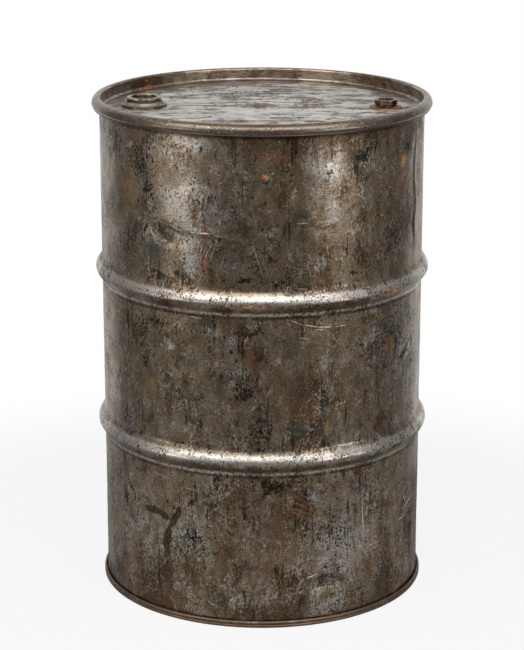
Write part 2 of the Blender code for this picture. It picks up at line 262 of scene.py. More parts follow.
class Coat:  # colours laid over one another, each where a weighted sum of fields is high
    def __init__(self, sheet, finish, fields, first):
        self.sheet, self.finish, self.fields, self.colour = sheet, finish, fields, finish[first]

    def where(self, low, high, /, **weights):  # 0 at low and 1 at high, which may be the smaller of the two
        first, *others = [self.fields[name] * weight if weight != 1 else self.fields[name]
                          for name, weight in weights.items()]
        total = sum(others, first)
        return self.sheet.fall(total, high, low) if low > high else self.sheet.fade(total, low, high)

    def lay(self, colour, share):
        self.colour = self.sheet.blend(self.colour, self.finish[colour] if isinstance(colour, str) else colour, share)


def newMaterial(name):
    material = bpy.data.materials.new(name)
    material.use_nodes = True
    return material, Sheet(material.node_tree)


def grainFields(sheet, place, grains):  # noise around 0
    return {name: sheet.grain(place, *values) - 0.5 for name, values in grains.items()}


def dress(piece, material, body, slot, *nodes):
    piece.data.materials.append(material)
    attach(piece, body)
    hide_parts(*nodes)
    return piece


# drum wall

drumWall = {
    "radius": 0.2870,
    "hoopRise": 0.0115,
    "hoopHalf": 0.0230,
    "hoops": (0.3029, 0.5857),
    "hoopFullness": 1.65,
    "low": 0.0036,
    "high": 0.8850,
    "frontStep": 0.62,
    "backStep": 1.7,
    "rowStep": 0.0050,
    "wave": 0.0008,
    "weldTurn": 180.0,
}

# dents: angle from the front towards +X, height, half sizes in degrees and metres, depth, tilt
drumDents = (
    (36.0, 0.821, 9.5, 0.026, 0.0022, 10),
    (-34.0, 0.697, 12.0, 0.024, 0.0019, -10),
    (61.0, 0.452, 8.0, 0.040, 0.0030, 35),
    (22.0, 0.074, 11.0, 0.022, 0.0055, 5),
    (64.5, 0.124, 7.5, 0.090, 0.0075, 0),
    (59.0, 0.215, 9.0, 0.035, 0.0025, 20),
    (-28.0, 0.470, 9.0, 0.030, 0.0015, 0),
    (14.0, 0.540, 12.0, 0.016, 0.0012, 5),
    (17.5, 0.398, 7.0, 0.014, 0.0012, 10),
    (-8.0, 0.440, 10.0, 0.030, 0.0010, 0),
    (-46.0, 0.195, 9.0, 0.020, 0.0014, -18),
    (8.0, 0.662, 12.0, 0.025, 0.0012, 0),
    (70.0, 0.800, 8.0, 0.050, 0.0022, 0),
    (76.0, 0.690, 9.0, 0.045, 0.0020, 10),
    (80.0, 0.350, 10.0, 0.050, 0.0020, 0),
    (-70.0, 0.780, 9.0, 0.060, 0.0018, -10),
    (-66.0, 0.660, 8.0, 0.040, 0.0015, 0),
    (-72.0, 0.400, 12.0, 0.070, 0.0030, 10),
    (110.0, 0.720, 16.0, 0.060, 0.0050, 0),
    (-125.0, 0.150, 18.0, 0.070, 0.0060, 15),
    (150.0, 0.430, 20.0, 0.050, 0.0040, -20),
    (-160.0, 0.760, 14.0, 0.050, 0.0035, 0),
)

# creases: points as angle and height, rise and width of the fold, depth and reach of the hollow under it
drumCreases = (
    {"points": ((-35, 716), (-32, 711), (-28, 704), (-20, 703), (-10, 705)), "rise": 1.0, "width": 2.6, "under": 1.3,
     "reach": 15},
    {"points": ((11, 722), (17, 723), (20, 716), (25, 718)), "rise": 0.7, "width": 2.8, "under": 0.8, "reach": 10},
    {"points": ((9, 558), (15, 546), (21, 540), (29, 538)), "rise": 0.6, "width": 2.6, "under": 0.5, "reach": 9},
    {"points": ((-39, 536), (-31, 509), (-27, 489), (-20, 480)), "rise": 0.6, "width": 3.4, "under": 0.6,
     "reach": 12},
    {"points": ((-14, 471), (-6, 462)), "rise": 0.5, "width": 3.4, "under": 0.5, "reach": 10},
    {"points": ((14, 400), (18, 391), (21, 396)), "rise": 0.6, "width": 2.8, "under": 0.6, "reach": 8},
    {"points": ((67.5, 470), (63, 455), (58, 442)), "rise": 2.2, "width": 4.2, "under": 2.0, "reach": 13},
    {"points": ((60, 214), (66, 196), (63, 160), (62, 128), (59.5, 90), (58.5, 46), (66, 30)), "rise": 2.6,
     "width": 4.6, "under": 2.2, "reach": 13},
    {"points": ((12, 78), (15, 86), (19, 91), (26, 91)), "rise": 1.3, "width": 2.8, "under": 2.0, "reach": 15},
    {"points": ((69, 850), (68, 800), (66.5, 765), (68.5, 720), (67, 680), (69, 640)), "rise": 1.5, "width": 4.4,
     "under": 1.2, "reach": 12},
    {"points": ((37, 205), (38.5, 180), (38.5, 150)), "rise": 0.35, "width": 2.6, "under": 0.0, "reach": 8},
)

# marks on the wall: angle, height, half width, half height (mm), then strength and tilt where they aren't 1 and 0
drumMarks = {
    "orange": (
        (-51.9, 836, 14.1, 7.6), (-27.7, 819, 1.6, 5.7, 0.8), (1.2, 803, 9.8, 6.3, 0.9, 20),
        (2.5, 807, 19.6, 4.5, 0.8, 10), (-0.8, 747, 2.7, 8.5), (-0.1, 716, 2.3, 5.3), (57.9, 804, 11, 9, 1.25, 20),
        (56.5, 778, 5, 24, 0.85, 8), (45.2, 716, 4.9, 5.5, 1, -20), (-68.1, 442, 12.3, 13.8, 0.8),
        (-15.5, 481, 2.3, 9.8, 1, -10), (5.7, 486, 4.7, 6.6), (5.7, 458, 2.7, 5.5, 0.9), (29.3, 436, 4.9, 2.8),
        (22.1, 417, 3.1, 3.9), (22.8, 348, 2.3, 20.1, 0.6), (50.7, 277, 12.7, 3.4, 1, 25),
        (31.2, 285, 13.9, 3.7, 0.8, 10), (0.1, 138, 17.6, 5.4, 0.6), (-24.4, 40, 15, 4, 1.4, -16),
        (5.7, 205, 2.2, 7.6, 0.9), (8.4, 186, 2.3, 14.5, 0.8, -8), (8.8, 144, 7, 2.1, 0.9, 5), (9.2, 71, 2.5, 3.1),
        (58.6, 18, 20, 5.4, 0.9, 25), (-4, 579, 68, 2.6, 0.9), (22, 580, 20, 2.2, 0.6), (47, 581, 76, 4, 1.25),
        (-54, 584, 13, 5, 0.8), (-50, 578, 60, 2.4, 0.5), (2, 296, 60, 2.6, 0.8), (30, 297, 40, 2.4, 0.5),
        (50, 298, 40, 3, 0.7),
    ),
    "black": (
        (-45.9, 811, 39.1, 39.1, 0.75), (-42.2, 766, 22.6, 25.4, 0.7), (-53.7, 655, 21.8, 46.2, 0.6),
        (-6.2, 626, 15.1, 5.3, 1.2), (-12.3, 624, 5.9, 1.6), (-1.7, 655, 23.5, 33.2, 0.55),
        (39.4, 839, 15.1, 5.7, 0.8, 30), (60.2, 827, 16.8, 13.7, 1, -20), (52.2, 676, 43.6, 50.2, 0.55),
        (3.6, 661, 8.4, 7.6, 0.9), (5.9, 618, 23.5, 10.7, 0.9), (32.5, 629, 10.1, 4.3, 0.9),
        (-45.6, 508, 33.5, 40.2, 0.6), (-40, 536, 28, 12.1, 0.7), (-44.6, 463, 11.2, 14.1, 0.8),
        (-29.1, 505, 13.4, 6, 0.8), (-5.5, 425, 17.6, 14.1, 0.95), (-29.4, 411, 11.2, 14.1, 0.7),
        (-20.8, 415, 10.8, 10, 0.6), (-0.6, 355, 25.4, 46.2, 0.65), (-38.2, 330, 7.5, 8.4, 0.8),
        (-30, 326, 20.1, 5.4, 0.8, -10), (-21.8, 322, 4, 12.4, 0.9), (-18.1, 320, 5.4, 10, 0.9),
        (-4.4, 535, 37.2, 5.9, 0.7, 5), (50, 492, 36.9, 44.2, 0.75), (53.9, 300, 20.8, 8.3),
        (1.4, 355, 19.6, 40.2, 0.6), (36.7, 475, 5.5, 1.6), (35.2, 502, 15.1, 2.4, 0.9, -25),
        (-53.5, 214, 21.8, 2.1, 1, -45), (-57.5, 197, 8.4, 19.1, 0.9, 12), (-44, 204, 19.6, 1.9, 1, -28),
        (-35.3, 214, 2.5, 6.2, 1.1), (-25, 221, 8.2, 7.8, 0.95), (-32.7, 204, 5, 4.1), (-16.4, 268, 2.5, 7.2, 1.2),
        (-24.6, 158, 19.6, 18.6, 0.6), (1.3, 263, 9.8, 19.1), (-6.4, 207, 2.3, 22.1, 0.7),
        (-0.6, 185, 2.7, 14.5, 0.7), (-23.8, 157, 58.1, 41.3, 0.4), (4.5, 260, 31.3, 11.7, 0.9),
        (27, 91, 8.1, 6.2, 0.9), (36.6, 47, 14, 4.8, 0.8), (31.3, 202, 3.6, 33, 0.7), (25.5, 166, 39.1, 33.9, 0.4),
        (38.5, 104, 5, 12.7, 0.5),
    ),
    "ochre": (
        (-51.5, 762, 24, 44), (57, 802, 13, 12, 1.3), (-24.3, 773, 10.8, 6.1, 0.8), (-50.6, 711, 21.5, 11.7, 0.6),
        (27.3, 754, 19, 14.2, 0.8), (43.1, 710, 12.6, 3.9, 1, 10), (-42.6, 423, 25.2, 24.8, 0.9),
        (22.6, 356, 5.8, 25.1, 1.2), (50.4, 481, 17, 23, 1.7), (18.5, 388, 5.1, 4, 1.2), (8.7, 39, 3.9, 3.2, 1.5),
        (52.5, 167, 21.8, 6.4, 0.8, 35),
    ),
    "red": (
        (-26.8, 783, 2.7, 7.6), (-19.3, 652, 5.5, 16, 1.5), (-28.4, 662, 3.1, 7.2), (-28.6, 636, 3.1, 4.3),
        (-15.5, 784, 6.7, 17.1, 0.6), (-3.2, 844, 31.3, 19, 0.7), (3.2, 835, 35.2, 22.1, 0.7),
        (8.8, 723, 11.7, 5.3, 0.9, 15), (56.6, 779, 7.3, 11.7, 0.8), (52.5, 854, 36.9, 9.5, 0.8),
        (46.6, 540, 6.1, 3.9), (-54.5, 48, 32.7, 7.8, 1, -22),
    ),
    # pale: worn bright patches, with painted highlights along the creases
    "pale": (
        (-24.7, 744, 45, 44.9, 0.8), (-29.3, 708.5, 13, 3, 1.9, -22), (-22, 704.5, 17, 3, 1.9, -2),
        (-22.5, 853, 40.3, 11.4, 0.8), (-24.9, 658, 22.4, 28.5, 0.6), (11, 779, 2.3, 11.4, 1.1),
        (21, 816, 38, 42.4, 0.95), (24.4, 744, 21.5, 37.9, 0.7), (26.3, 829, 7, 22.8, 1.2),
        (40.1, 796, 22.6, 11.4, 0.45), (20.5, 650, 11.7, 15.6, 0.9), (-27.9, 487, 12.3, 3.2, 1.2, -10),
        (-34.2, 503, 25.2, 3.2, 0.8, -35), (-23.6, 480, 15.7, 2.8, 0.7, -15), (-32.2, 354, 50.3, 12.1, 0.35),
        (21.6, 478, 17.6, 30.1, 0.5), (34.3, 330, 30.2, 22.1, 0.5), (-26.8, 165, 47, 50.9, 0.6),
        (-44.3, 145, 55.9, 59.4, 0.4), (-7.6, 51, 17.6, 12.7, 0.9), (-21.9, 20, 44.7, 9.5, 0.8, -16),
        (28.3, 132, 58.1, 55.1, 0.6), (21.5, 26, 42.5, 17, 0.9, 12), (8.5, 53, 19.6, 17, 0.6),
    ),
    "mauve": (
        (-19.9, 758, 6.7, 28.5), (-10.5, 708, 15, 7, 1.1), (-43.5, 732, 15.1, 11.7, 0.9),
        (50.6, 618, 26.8, 18.1, 0.9), (-58.2, 484, 18.9, 12.4), (46.6, 549, 16.8, 12.1),
    ),
    "brown": (
        (-19.4, 700, 4.7, 40, 1.4), (-19.2, 655, 6.5, 17, 1.7), (2.1, 765, 21.8, 28.5, 0.75),
        (55.1, 767, 14.5, 23.4, 0.9), (42.2, 660, 28, 20.1, 0.4), (56, 790, 9, 34, 1.4, 6), (21.2, 713, 11.7, 3, 0.9),
        (59.7, 678, 25.2, 40.2, 0.5), (-2.5, 477, 13.4, 9.4), (-20.7, 457, 21.5, 15.6, 0.5),
        (-47.2, 344, 4.3, 41.3, 0.8), (-46.6, 294, 10.5, 12.4, 0.9), (-7.4, 492, 36.9, 17.6, 0.5),
        (9, 434, 55.3, 76.3, 0.55), (31.7, 416, 29.1, 24.1, 0.5), (-26.1, 90, 73.8, 31.8, 0.5, -8),
        (-13.9, 122, 9.8, 27.6), (-10.3, 141, 19.6, 5, 0.9), (-33.1, 45, 55.9, 9.5, 0.9, -14),
        (-1.8, 73, 23.5, 24.8, 0.5), (41.2, 83, 10.1, 27.6, 1.1), (48.4, 190, 32.3, 14.8, 1.1),
        (36.4, 269, 17.6, 12.4, 0.9), (5.3, 166, 29.4, 41.3, 0.7), (1.4, 104, 35.2, 31.8, 0.6),
        (32.7, 43, 20.1, 8.5, 0.5, 20),
    ),
    # dark: painted shade in and beside the dents and creases
    "dark": (
        (-35, 697, 25.7, 11.7, 1, -20), (-37.7, 620, 22.6, 9.8, 1.2), (-9.1, 738, 6.7, 17.1, 0.8),
        (-31.8, 849, 20.1, 11.4, 0.5), (36.5, 812, 20, 16, 1.3, 10), (35.6, 828, 25.2, 11.4, 1.3, 25),
        (-0.1, 536, 8.4, 11.7, 0.8), (7, 523, 7.8, 11.7, 0.8), (21.7, 403, 9.8, 16.1), (46.3, 356, 18.4, 12.4, 0.8),
        (27.3, 352, 13.4, 4.8, 0.7), (60.8, 448, 12, 16.5, 0.8, -10), (71, 440, 12, 19.6, 0.9, -30),
        (-7.6, 103, 21.5, 27.6, 0.7), (-17.4, 219, 19.6, 22.7, 0.5), (21, 73, 26.8, 7.6, 1, 5),
        (69.8, 109, 12, 20.1, 0.9, -12), (16.3, 209, 15.7, 20.6, 0.5), (47.3, 147, 18.4, 10.6, 0.6),
    ),
    "scar": (
        (-41.8, 190, 23, 6.2, 1.6, -9), (-36.6, 186, 13, 6, 1.5, -4), (-31.8, 188, 6.4, 24, 1.6, -20),
        (-34.9, 150, 6.6, 21, 1.6, -5), (-35.8, 120, 6, 22, 1.6, 3),
    ),
    "film": (
        (-33, 692, 34, 13, 1, -18), (-39, 662, 26, 42, 0.9), (-13, 668, 36, 30, 0.7), (12, 655, 20, 24, 0.6),
        (-38, 742, 26, 30, 0.7), (-33, 800, 26, 20, 0.7), (-12, 690, 36, 10, 0.8), (-12, 752, 24, 30, 0.6),
        (38, 796, 20, 15, 1.1), (13, 736, 22, 13), (13, 696, 20, 18, 0.8), (-8, 664, 30, 18, 0.6),
        (17, 528, 26, 12, 0.6), (-20, 548, 26, 8, 0.7), (-14, 452, 24, 12, 0.7), (28, 250, 22, 12, 0.5),
    ),
    # smears, mostly painted shade beside the dents and creases
    "smear": (
        (35.5, 824, 19, 7, 1.3, 10), (-30, 630, 10, 9, 1.2), (-6, 627, 17, 5, 1.1), (33.5, 812, 6, 8, 0.8),
        (-35, 695, 24, 8, 1.1, -20), (14, 733, 18, 5, 0.8), (22.5, 83, 26, 8, 0.9, 8), (65.2, 165, 31, 4, 1.1, 37),
        (59.2, 143, 13, 4, 1.1, 30), (57.3, 128, 15, 4, 1.1, 82), (56.1, 106, 15, 4, 1.1, 68),
        (62.6, 467, 16, 4, 1.1, 47), (59, 451, 15, 4, 1.1, 33), (-4, 668, 12, 4, 0.8, 10), (42, 640, 5, 26, 0.7),
    ),
}

# hairlines: angle, height, half length, half width (mm), tilt, brightness (below 0 is dark); the bright ones along
# the creases are painted highlights
drumHairsAndCreaseGlints = (
    (-30.5, 707, 17, 1.2, -24, 1.4), (-21, 703.5, 26, 1.1, 0, 1.3), (13.5, 722.5, 13, 0.7, 0, 1),
    (22, 717.5, 13, 0.6, 6, 0.7), (12, 551, 16, 0.7, -24, 1), (17.2, 543.5, 16, 0.9, -13, 1.2),
    (21.8, 540, 17, 0.8, -4, 1.1), (28, 538.8, 15, 0.5, 2, 0.8), (20, 536.5, 15, 0.5, -6, 0.8),
    (14.7, 523, 13, 0.6, -9, 0.7), (-23, 556, 16, 0.7, -7, 0.7), (-22, 520, 17, 0.8, 9, -0.4),
    (-40, 688, 21, 0.5, -62, 0.8), (-38.5, 682, 18, 0.4, -62, 0.6), (-1, 655, 38, 0.5, -72, 0.5),
    (1, 652, 36, 0.4, -74, 0.4), (13, 610, 15, 0.5, -6, 0.7), (9, 632, 34, 0.8, 52, -0.6),
    (16, 640, 30, 0.5, 50, -0.4), (-37, 260, 24, 0.6, -12, 0.5), (-25, 246, 22, 0.5, -6, 0.6),
    (-18, 240, 18, 0.5, -18, 0.5), (0, 247, 16, 0.5, 0, -0.5), (30, 674, 34, 0.9, 90, -1),
    (34.5, 646, 9, 1.1, 90, -1), (40, 628, 12, 1, 15, -0.8), (31.5, 150, 80, 0.7, 90, -0.8),
    (33.5, 330, 14, 0.9, 90, -1), (38.5, 346, 11, 0.9, 90, -1), (30.5, 345, 9, 0.8, 90, -0.8),
    (38, 178, 42, 0.8, -86, 1.4), (18, 90.5, 15, 1.1, 10, 1.5), (24, 91, 9, 0.6, 0, 0.7),
    (13.8, 83, 10, 0.7, 48, 0.8), (-30, 224, 17, 0.8, 90, -1), (-23, 222, 14, 0.6, 90, -0.7),
    (65.2, 467, 14, 1.8, 47, 1.3), (61.6, 451, 13, 1.8, 33, 1.3), (67.7, 165, 29, 1.5, 37, 0.6),
    (61.6, 143, 11, 1.5, 30, 0.6), (59.7, 128, 13, 1.5, 82, 0.6), (58.5, 106, 13, 1.5, 68, 0.6),
    (54, 420, 5, 1, 45, 0.8), (16, 411, 7, 0.6, 35, 0.7), (-48, 560, 30, 0.5, -40, 0.5),
    (-60, 300, 30, 0.5, -30, -0.5), (64, 180, 22, 0.8, -80, 0.8), (-14, 790, 5, 0.5, 20, 0.8),
    (-50, 230, 20, 0.7, -55, -0.7), (-46, 175, 26, 0.6, -60, 0.5), (-41, 110, 22, 0.6, -70, -0.5),
    (24, 512, 24, 0.5, 88, -0.7), (27, 530, 12, 0.7, 80, -0.8), (-2, 250, 10, 0.5, 5, 0.5),
    (6, 236, 14, 0.6, 80, -0.5),
)


def hoopBulge(heights):
    bulge = np.zeros_like(heights)
    for hoop in drumWall["hoops"]:
        share = np.clip((heights - hoop) / drumWall["hoopHalf"], -1, 1)
        bulge += drumWall["hoopRise"] * np.maximum(np.cos(share * math.pi / 2), 0) ** drumWall["hoopFullness"]
    return bulge


def turnedAway(across, along, tilt):  # coordinates in a frame turned by tilt
    turn = math.radians(tilt)
    return across * math.cos(turn) + along * math.sin(turn), along * math.cos(turn) - across * math.sin(turn)


def unrolled(angles):  # millimetres around the wall, from degrees
    return angles / 57.3 * 287


def dentDepth(angles, heights):
    depth = np.zeros_like(heights)
    for angle, height, halfAngle, halfHeight, deep, tilt in drumDents:
        off = (angles - angle + 180) % 360 - 180
        across, along = turnedAway(off / 57.3 * 0.287, heights - height, tilt)
        reach = (across / (halfAngle / 57.3 * 0.287)) ** 2 + (along / halfHeight) ** 2
        depth += deep * np.clip(1 - reach, 0, 1) ** 1.5
    return depth


def creaseRise(angles, heights):
    rise = np.zeros_like(heights)
    across, along = unrolled(angles), heights * 1000
    for crease in drumCreases:
        points = [(unrolled(angle), height) for angle, height in crease["points"]]
        nearest = np.full_like(heights, 1e6)
        side = np.zeros_like(heights)
        ends = np.zeros_like(heights)
        for i, ((x0, y0), (x1, y1)) in enumerate(zip(points, points[1:])):
            run = math.hypot(x1 - x0, y1 - y0)
            share = ((across - x0) * (x1 - x0) + (along - y0) * (y1 - y0)) / run ** 2
            near = np.clip(share, 0, 1)
            gap = np.hypot(across - x0 - near * (x1 - x0), along - y0 - near * (y1 - y0))
            turn = ((across - x0) * (y1 - y0) - (along - y0) * (x1 - x0)) / run  # positive to the right of the line
            closer = gap < nearest
            nearest = np.where(closer, gap, nearest)
            side = np.where(closer, turn, side)
            ends = np.where(closer, (i + near) / (len(points) - 1), ends)
        body = smoothStep(ends, 0, 0.18) * smoothStep(1 - ends, 0, 0.18)
        rise += crease["rise"] / 1000 * np.exp(-(nearest / crease["width"]) ** 2) * (0.25 + 0.75 * body)
        hollow = smoothStep(side, 0, crease["width"] * 1.5) * np.exp(-(nearest / crease["reach"]) ** 2)
        rise -= crease["under"] / 1000 * hollow * (0.15 + 0.85 * body)
    return rise


def paintMarks(piece, angles, heights):
    across, along = unrolled(angles), heights * 1000
    flat = np.zeros_like(across)
    across = across + 5.0 * wander(across, along, flat, 26) + 3.0 * wander(across, along, flat, 10, 9)
    along = along + 6.0 * wander(across, along, flat, 26, 31) + 3.0 * wander(across, along, flat, 10, 17)
    for kind, marks in drumMarks.items():
        value = np.zeros_like(heights)
        for mark in marks:
            angle, height, wide, tall, strength, tilt = (*mark, *(1, 0)[len(mark) - 4:])
            u, v = turnedAway(across - unrolled(angle), along - height, tilt)
            reach = np.sqrt((u / max(wide, 3.0)) ** 2 + (v / max(tall, 3.0)) ** 2)
            value = np.maximum(value, strength * (1 - smoothStep(reach, 0.15, 1.45)))
        piece.data.attributes.new(kind, "FLOAT", "POINT").data.foreach_set("value", value.astype(np.float32))


hairLayers = 3


# each layer holds the place across and along the nearest scratch or painted crease highlight, in its half sizes
def paintHairs(piece, angles, heights):
    across, along = unrolled(angles), heights * 1000
    layers = [np.tile([60.0, 60.0, 0.0], (len(across), 1)) for _ in range(hairLayers)]
    taken = [np.zeros(len(across), bool) for _ in range(hairLayers)]
    for angle, height, long, wide, tilt, strength in drumHairsAndCreaseGlints:
        v, u = turnedAway(across - unrolled(angle), along - height, tilt)
        near = (np.abs(u) < 11) & (np.abs(v) < long + 12)
        overlap = [np.count_nonzero(used & near) for used in taken]
        layer = overlap.index(min(overlap))
        wider = (np.abs(u) < 7) & (np.abs(v) < long + 8)
        layers[layer][wider] = np.stack([u / wide / 1.3, v / long, np.full_like(u, strength)], 1)[wider]
        taken[layer] |= near
    for layer, values in enumerate(layers):
        piece.data.attributes.new("hairs" + str(layer), "FLOAT_VECTOR", "POINT").data.foreach_set("vector",
                values.astype(np.float32).ravel())


def buildDrumWall():
    size = drumWall
    columns = [-105 + size["frontStep"] * i for i in range(int(210 / size["frontStep"]) + 1)]
    angle = columns[-1] + size["backStep"]
    while angle < 255 - size["backStep"] * 0.6:
        columns.append(angle)
        angle += 0.35 if abs(angle - 180) < 2.2 else size["backStep"]
    heights = [size["low"]]
    while heights[-1] < size["high"]:
        fine = any(abs(heights[-1] - hoop) < size["hoopHalf"] + 0.002 for hoop in size["hoops"])
        heights.append(heights[-1] + (0.0033 if fine else size["rowStep"]))
    heights[-1] = size["high"]
    angles, levels = np.meshgrid(np.array(columns), np.array(heights))
    shape = angles.shape
    angles, levels = ((angles + 180) % 360 - 180).ravel(), levels.ravel()
    radii = size["radius"] + hoopBulge(levels)
    turns = np.radians(angles)
    x, y = np.sin(turns) * 0.287, -np.cos(turns) * 0.287
    calm = smoothStep(levels, 0.012, 0.05) * smoothStep(0.868 - levels, 0.0, 0.03)
    wave = 0.65 * wander(x, y, levels * 0.7, 0.085) + 0.35 * wander(x, y, levels, 0.034, 5)
    radii += size["wave"] * calm * (wave - 0.3)
    radii -= dentDepth(angles, levels) * calm
    radii += creaseRise(angles, levels) * calm
    weld = np.abs((angles - size["weldTurn"] + 180) % 360 - 180)
    radii += 0.0004 * np.exp(-(weld / 0.55) ** 2) * calm * (1 - smoothStep(hoopBulge(levels), 0.0, 0.004) * 0.5)
    points = np.stack([np.sin(turns) * radii, -np.cos(turns) * radii, levels], 1).reshape(*shape, 3)
    outer, outerFaces = skinOf(points)
    # the inside runs close to the seams, and clear of the dents between them
    inner = [roundRing(size["radius"] + hoopBulge(np.array([h]))[0] - (0.0075 if 0.030 < h < 0.857 else 0.0012), h,
                       192)
             for h in [size["high"], 0.858, *np.linspace(0.856, 0.031, 56), 0.029, size["low"]]]
    inside, insideFaces = skinOf(inner, start=len(outer))
    piece = makePiece("drumBody", np.vstack([outer, inside]), outerFaces + insideFaces, 60)
    allAngles = np.concatenate([angles, np.full(len(inside), 200.0)])
    allHeights = np.concatenate([levels, np.full(len(inside), -1.0)])
    paintMarks(piece, allAngles, allHeights)
    paintHairs(piece, allAngles, allHeights)
    print("drum body:", len(points.reshape(-1, 3)), "points")
    return piece


drumFinish = {
    "bareSteel": (0.350, 0.305, 0.254),
    "dullSteel": (0.226, 0.166, 0.105),
    "darkFilmAndShade": (0.034, 0.025, 0.015),
    "blackPit": (0.014, 0.012, 0.010),
    "brownFilm": (0.102, 0.062, 0.037),
    "brownRust": (0.085, 0.042, 0.022),
    "orangeRust": (0.46, 0.165, 0.030),
    "ochreRust": (0.23, 0.125, 0.036),
    "redRust": (0.165, 0.045, 0.028),
    "mauveFilm": (0.13, 0.090, 0.072),
    "silver": (0.61, 0.585, 0.55),
    "smoothFilm": (0.094, 0.093, 0.073),
    "darkSmearAndShade": (0.024, 0.022, 0.016),
    "oilTint": (0.090, 0.065, 0.029),
    "heatTint": (0.088, 0.090, 0.070),
    "freckle": (0.18, 0.076, 0.028),
    "tan": (0.27, 0.175, 0.080),
    "scarLight": (0.095, 0.066, 0.040),
    "scarDark": (0.045, 0.032, 0.020),
    "scratchAndGlint": (0.85, 0.78, 0.68),
}

# noise on the wall: scale, scale upwards against it, detail, roughness, seed
drumGrains = {
    "cloud": (5, 0.55, 3, 0.5, 1.0),
    "patch": (15, 0.7, 5, 0.62, 4.0),
    "blotch": (48, 0.75, 4, 0.62, 7.0),
    "grit": (230, 0.75, 3, 0.6, 2.0),
    "fineGrit": (420, 0.8, 2, 0.6, 12.0),
    "micro": (640, 0.8, 1, 0.5, 41.0),
    "streak": (75, 0.05, 3, 0.6, 3.0),
    "thinStreak": (260, 0.045, 2, 0.5, 6.0),
    "drip": (130, 0.10, 2, 0.5, 8.0),
    "crisp": (40, 0.5, 5, 0.7, 81.0),
    "tint": (32, 0.8, 3, 0.55, 31.0),
    "freckle": (360, 0.8, 2, 0.6, 51.0),
    "scatter": (11, 0.8, 2, 0.5, 21.0),
    "pits": (150, 0.6, 2, 0.5, 61.0),
    "crack": (46, 0.8, 3, 0.5, 71.0),
}


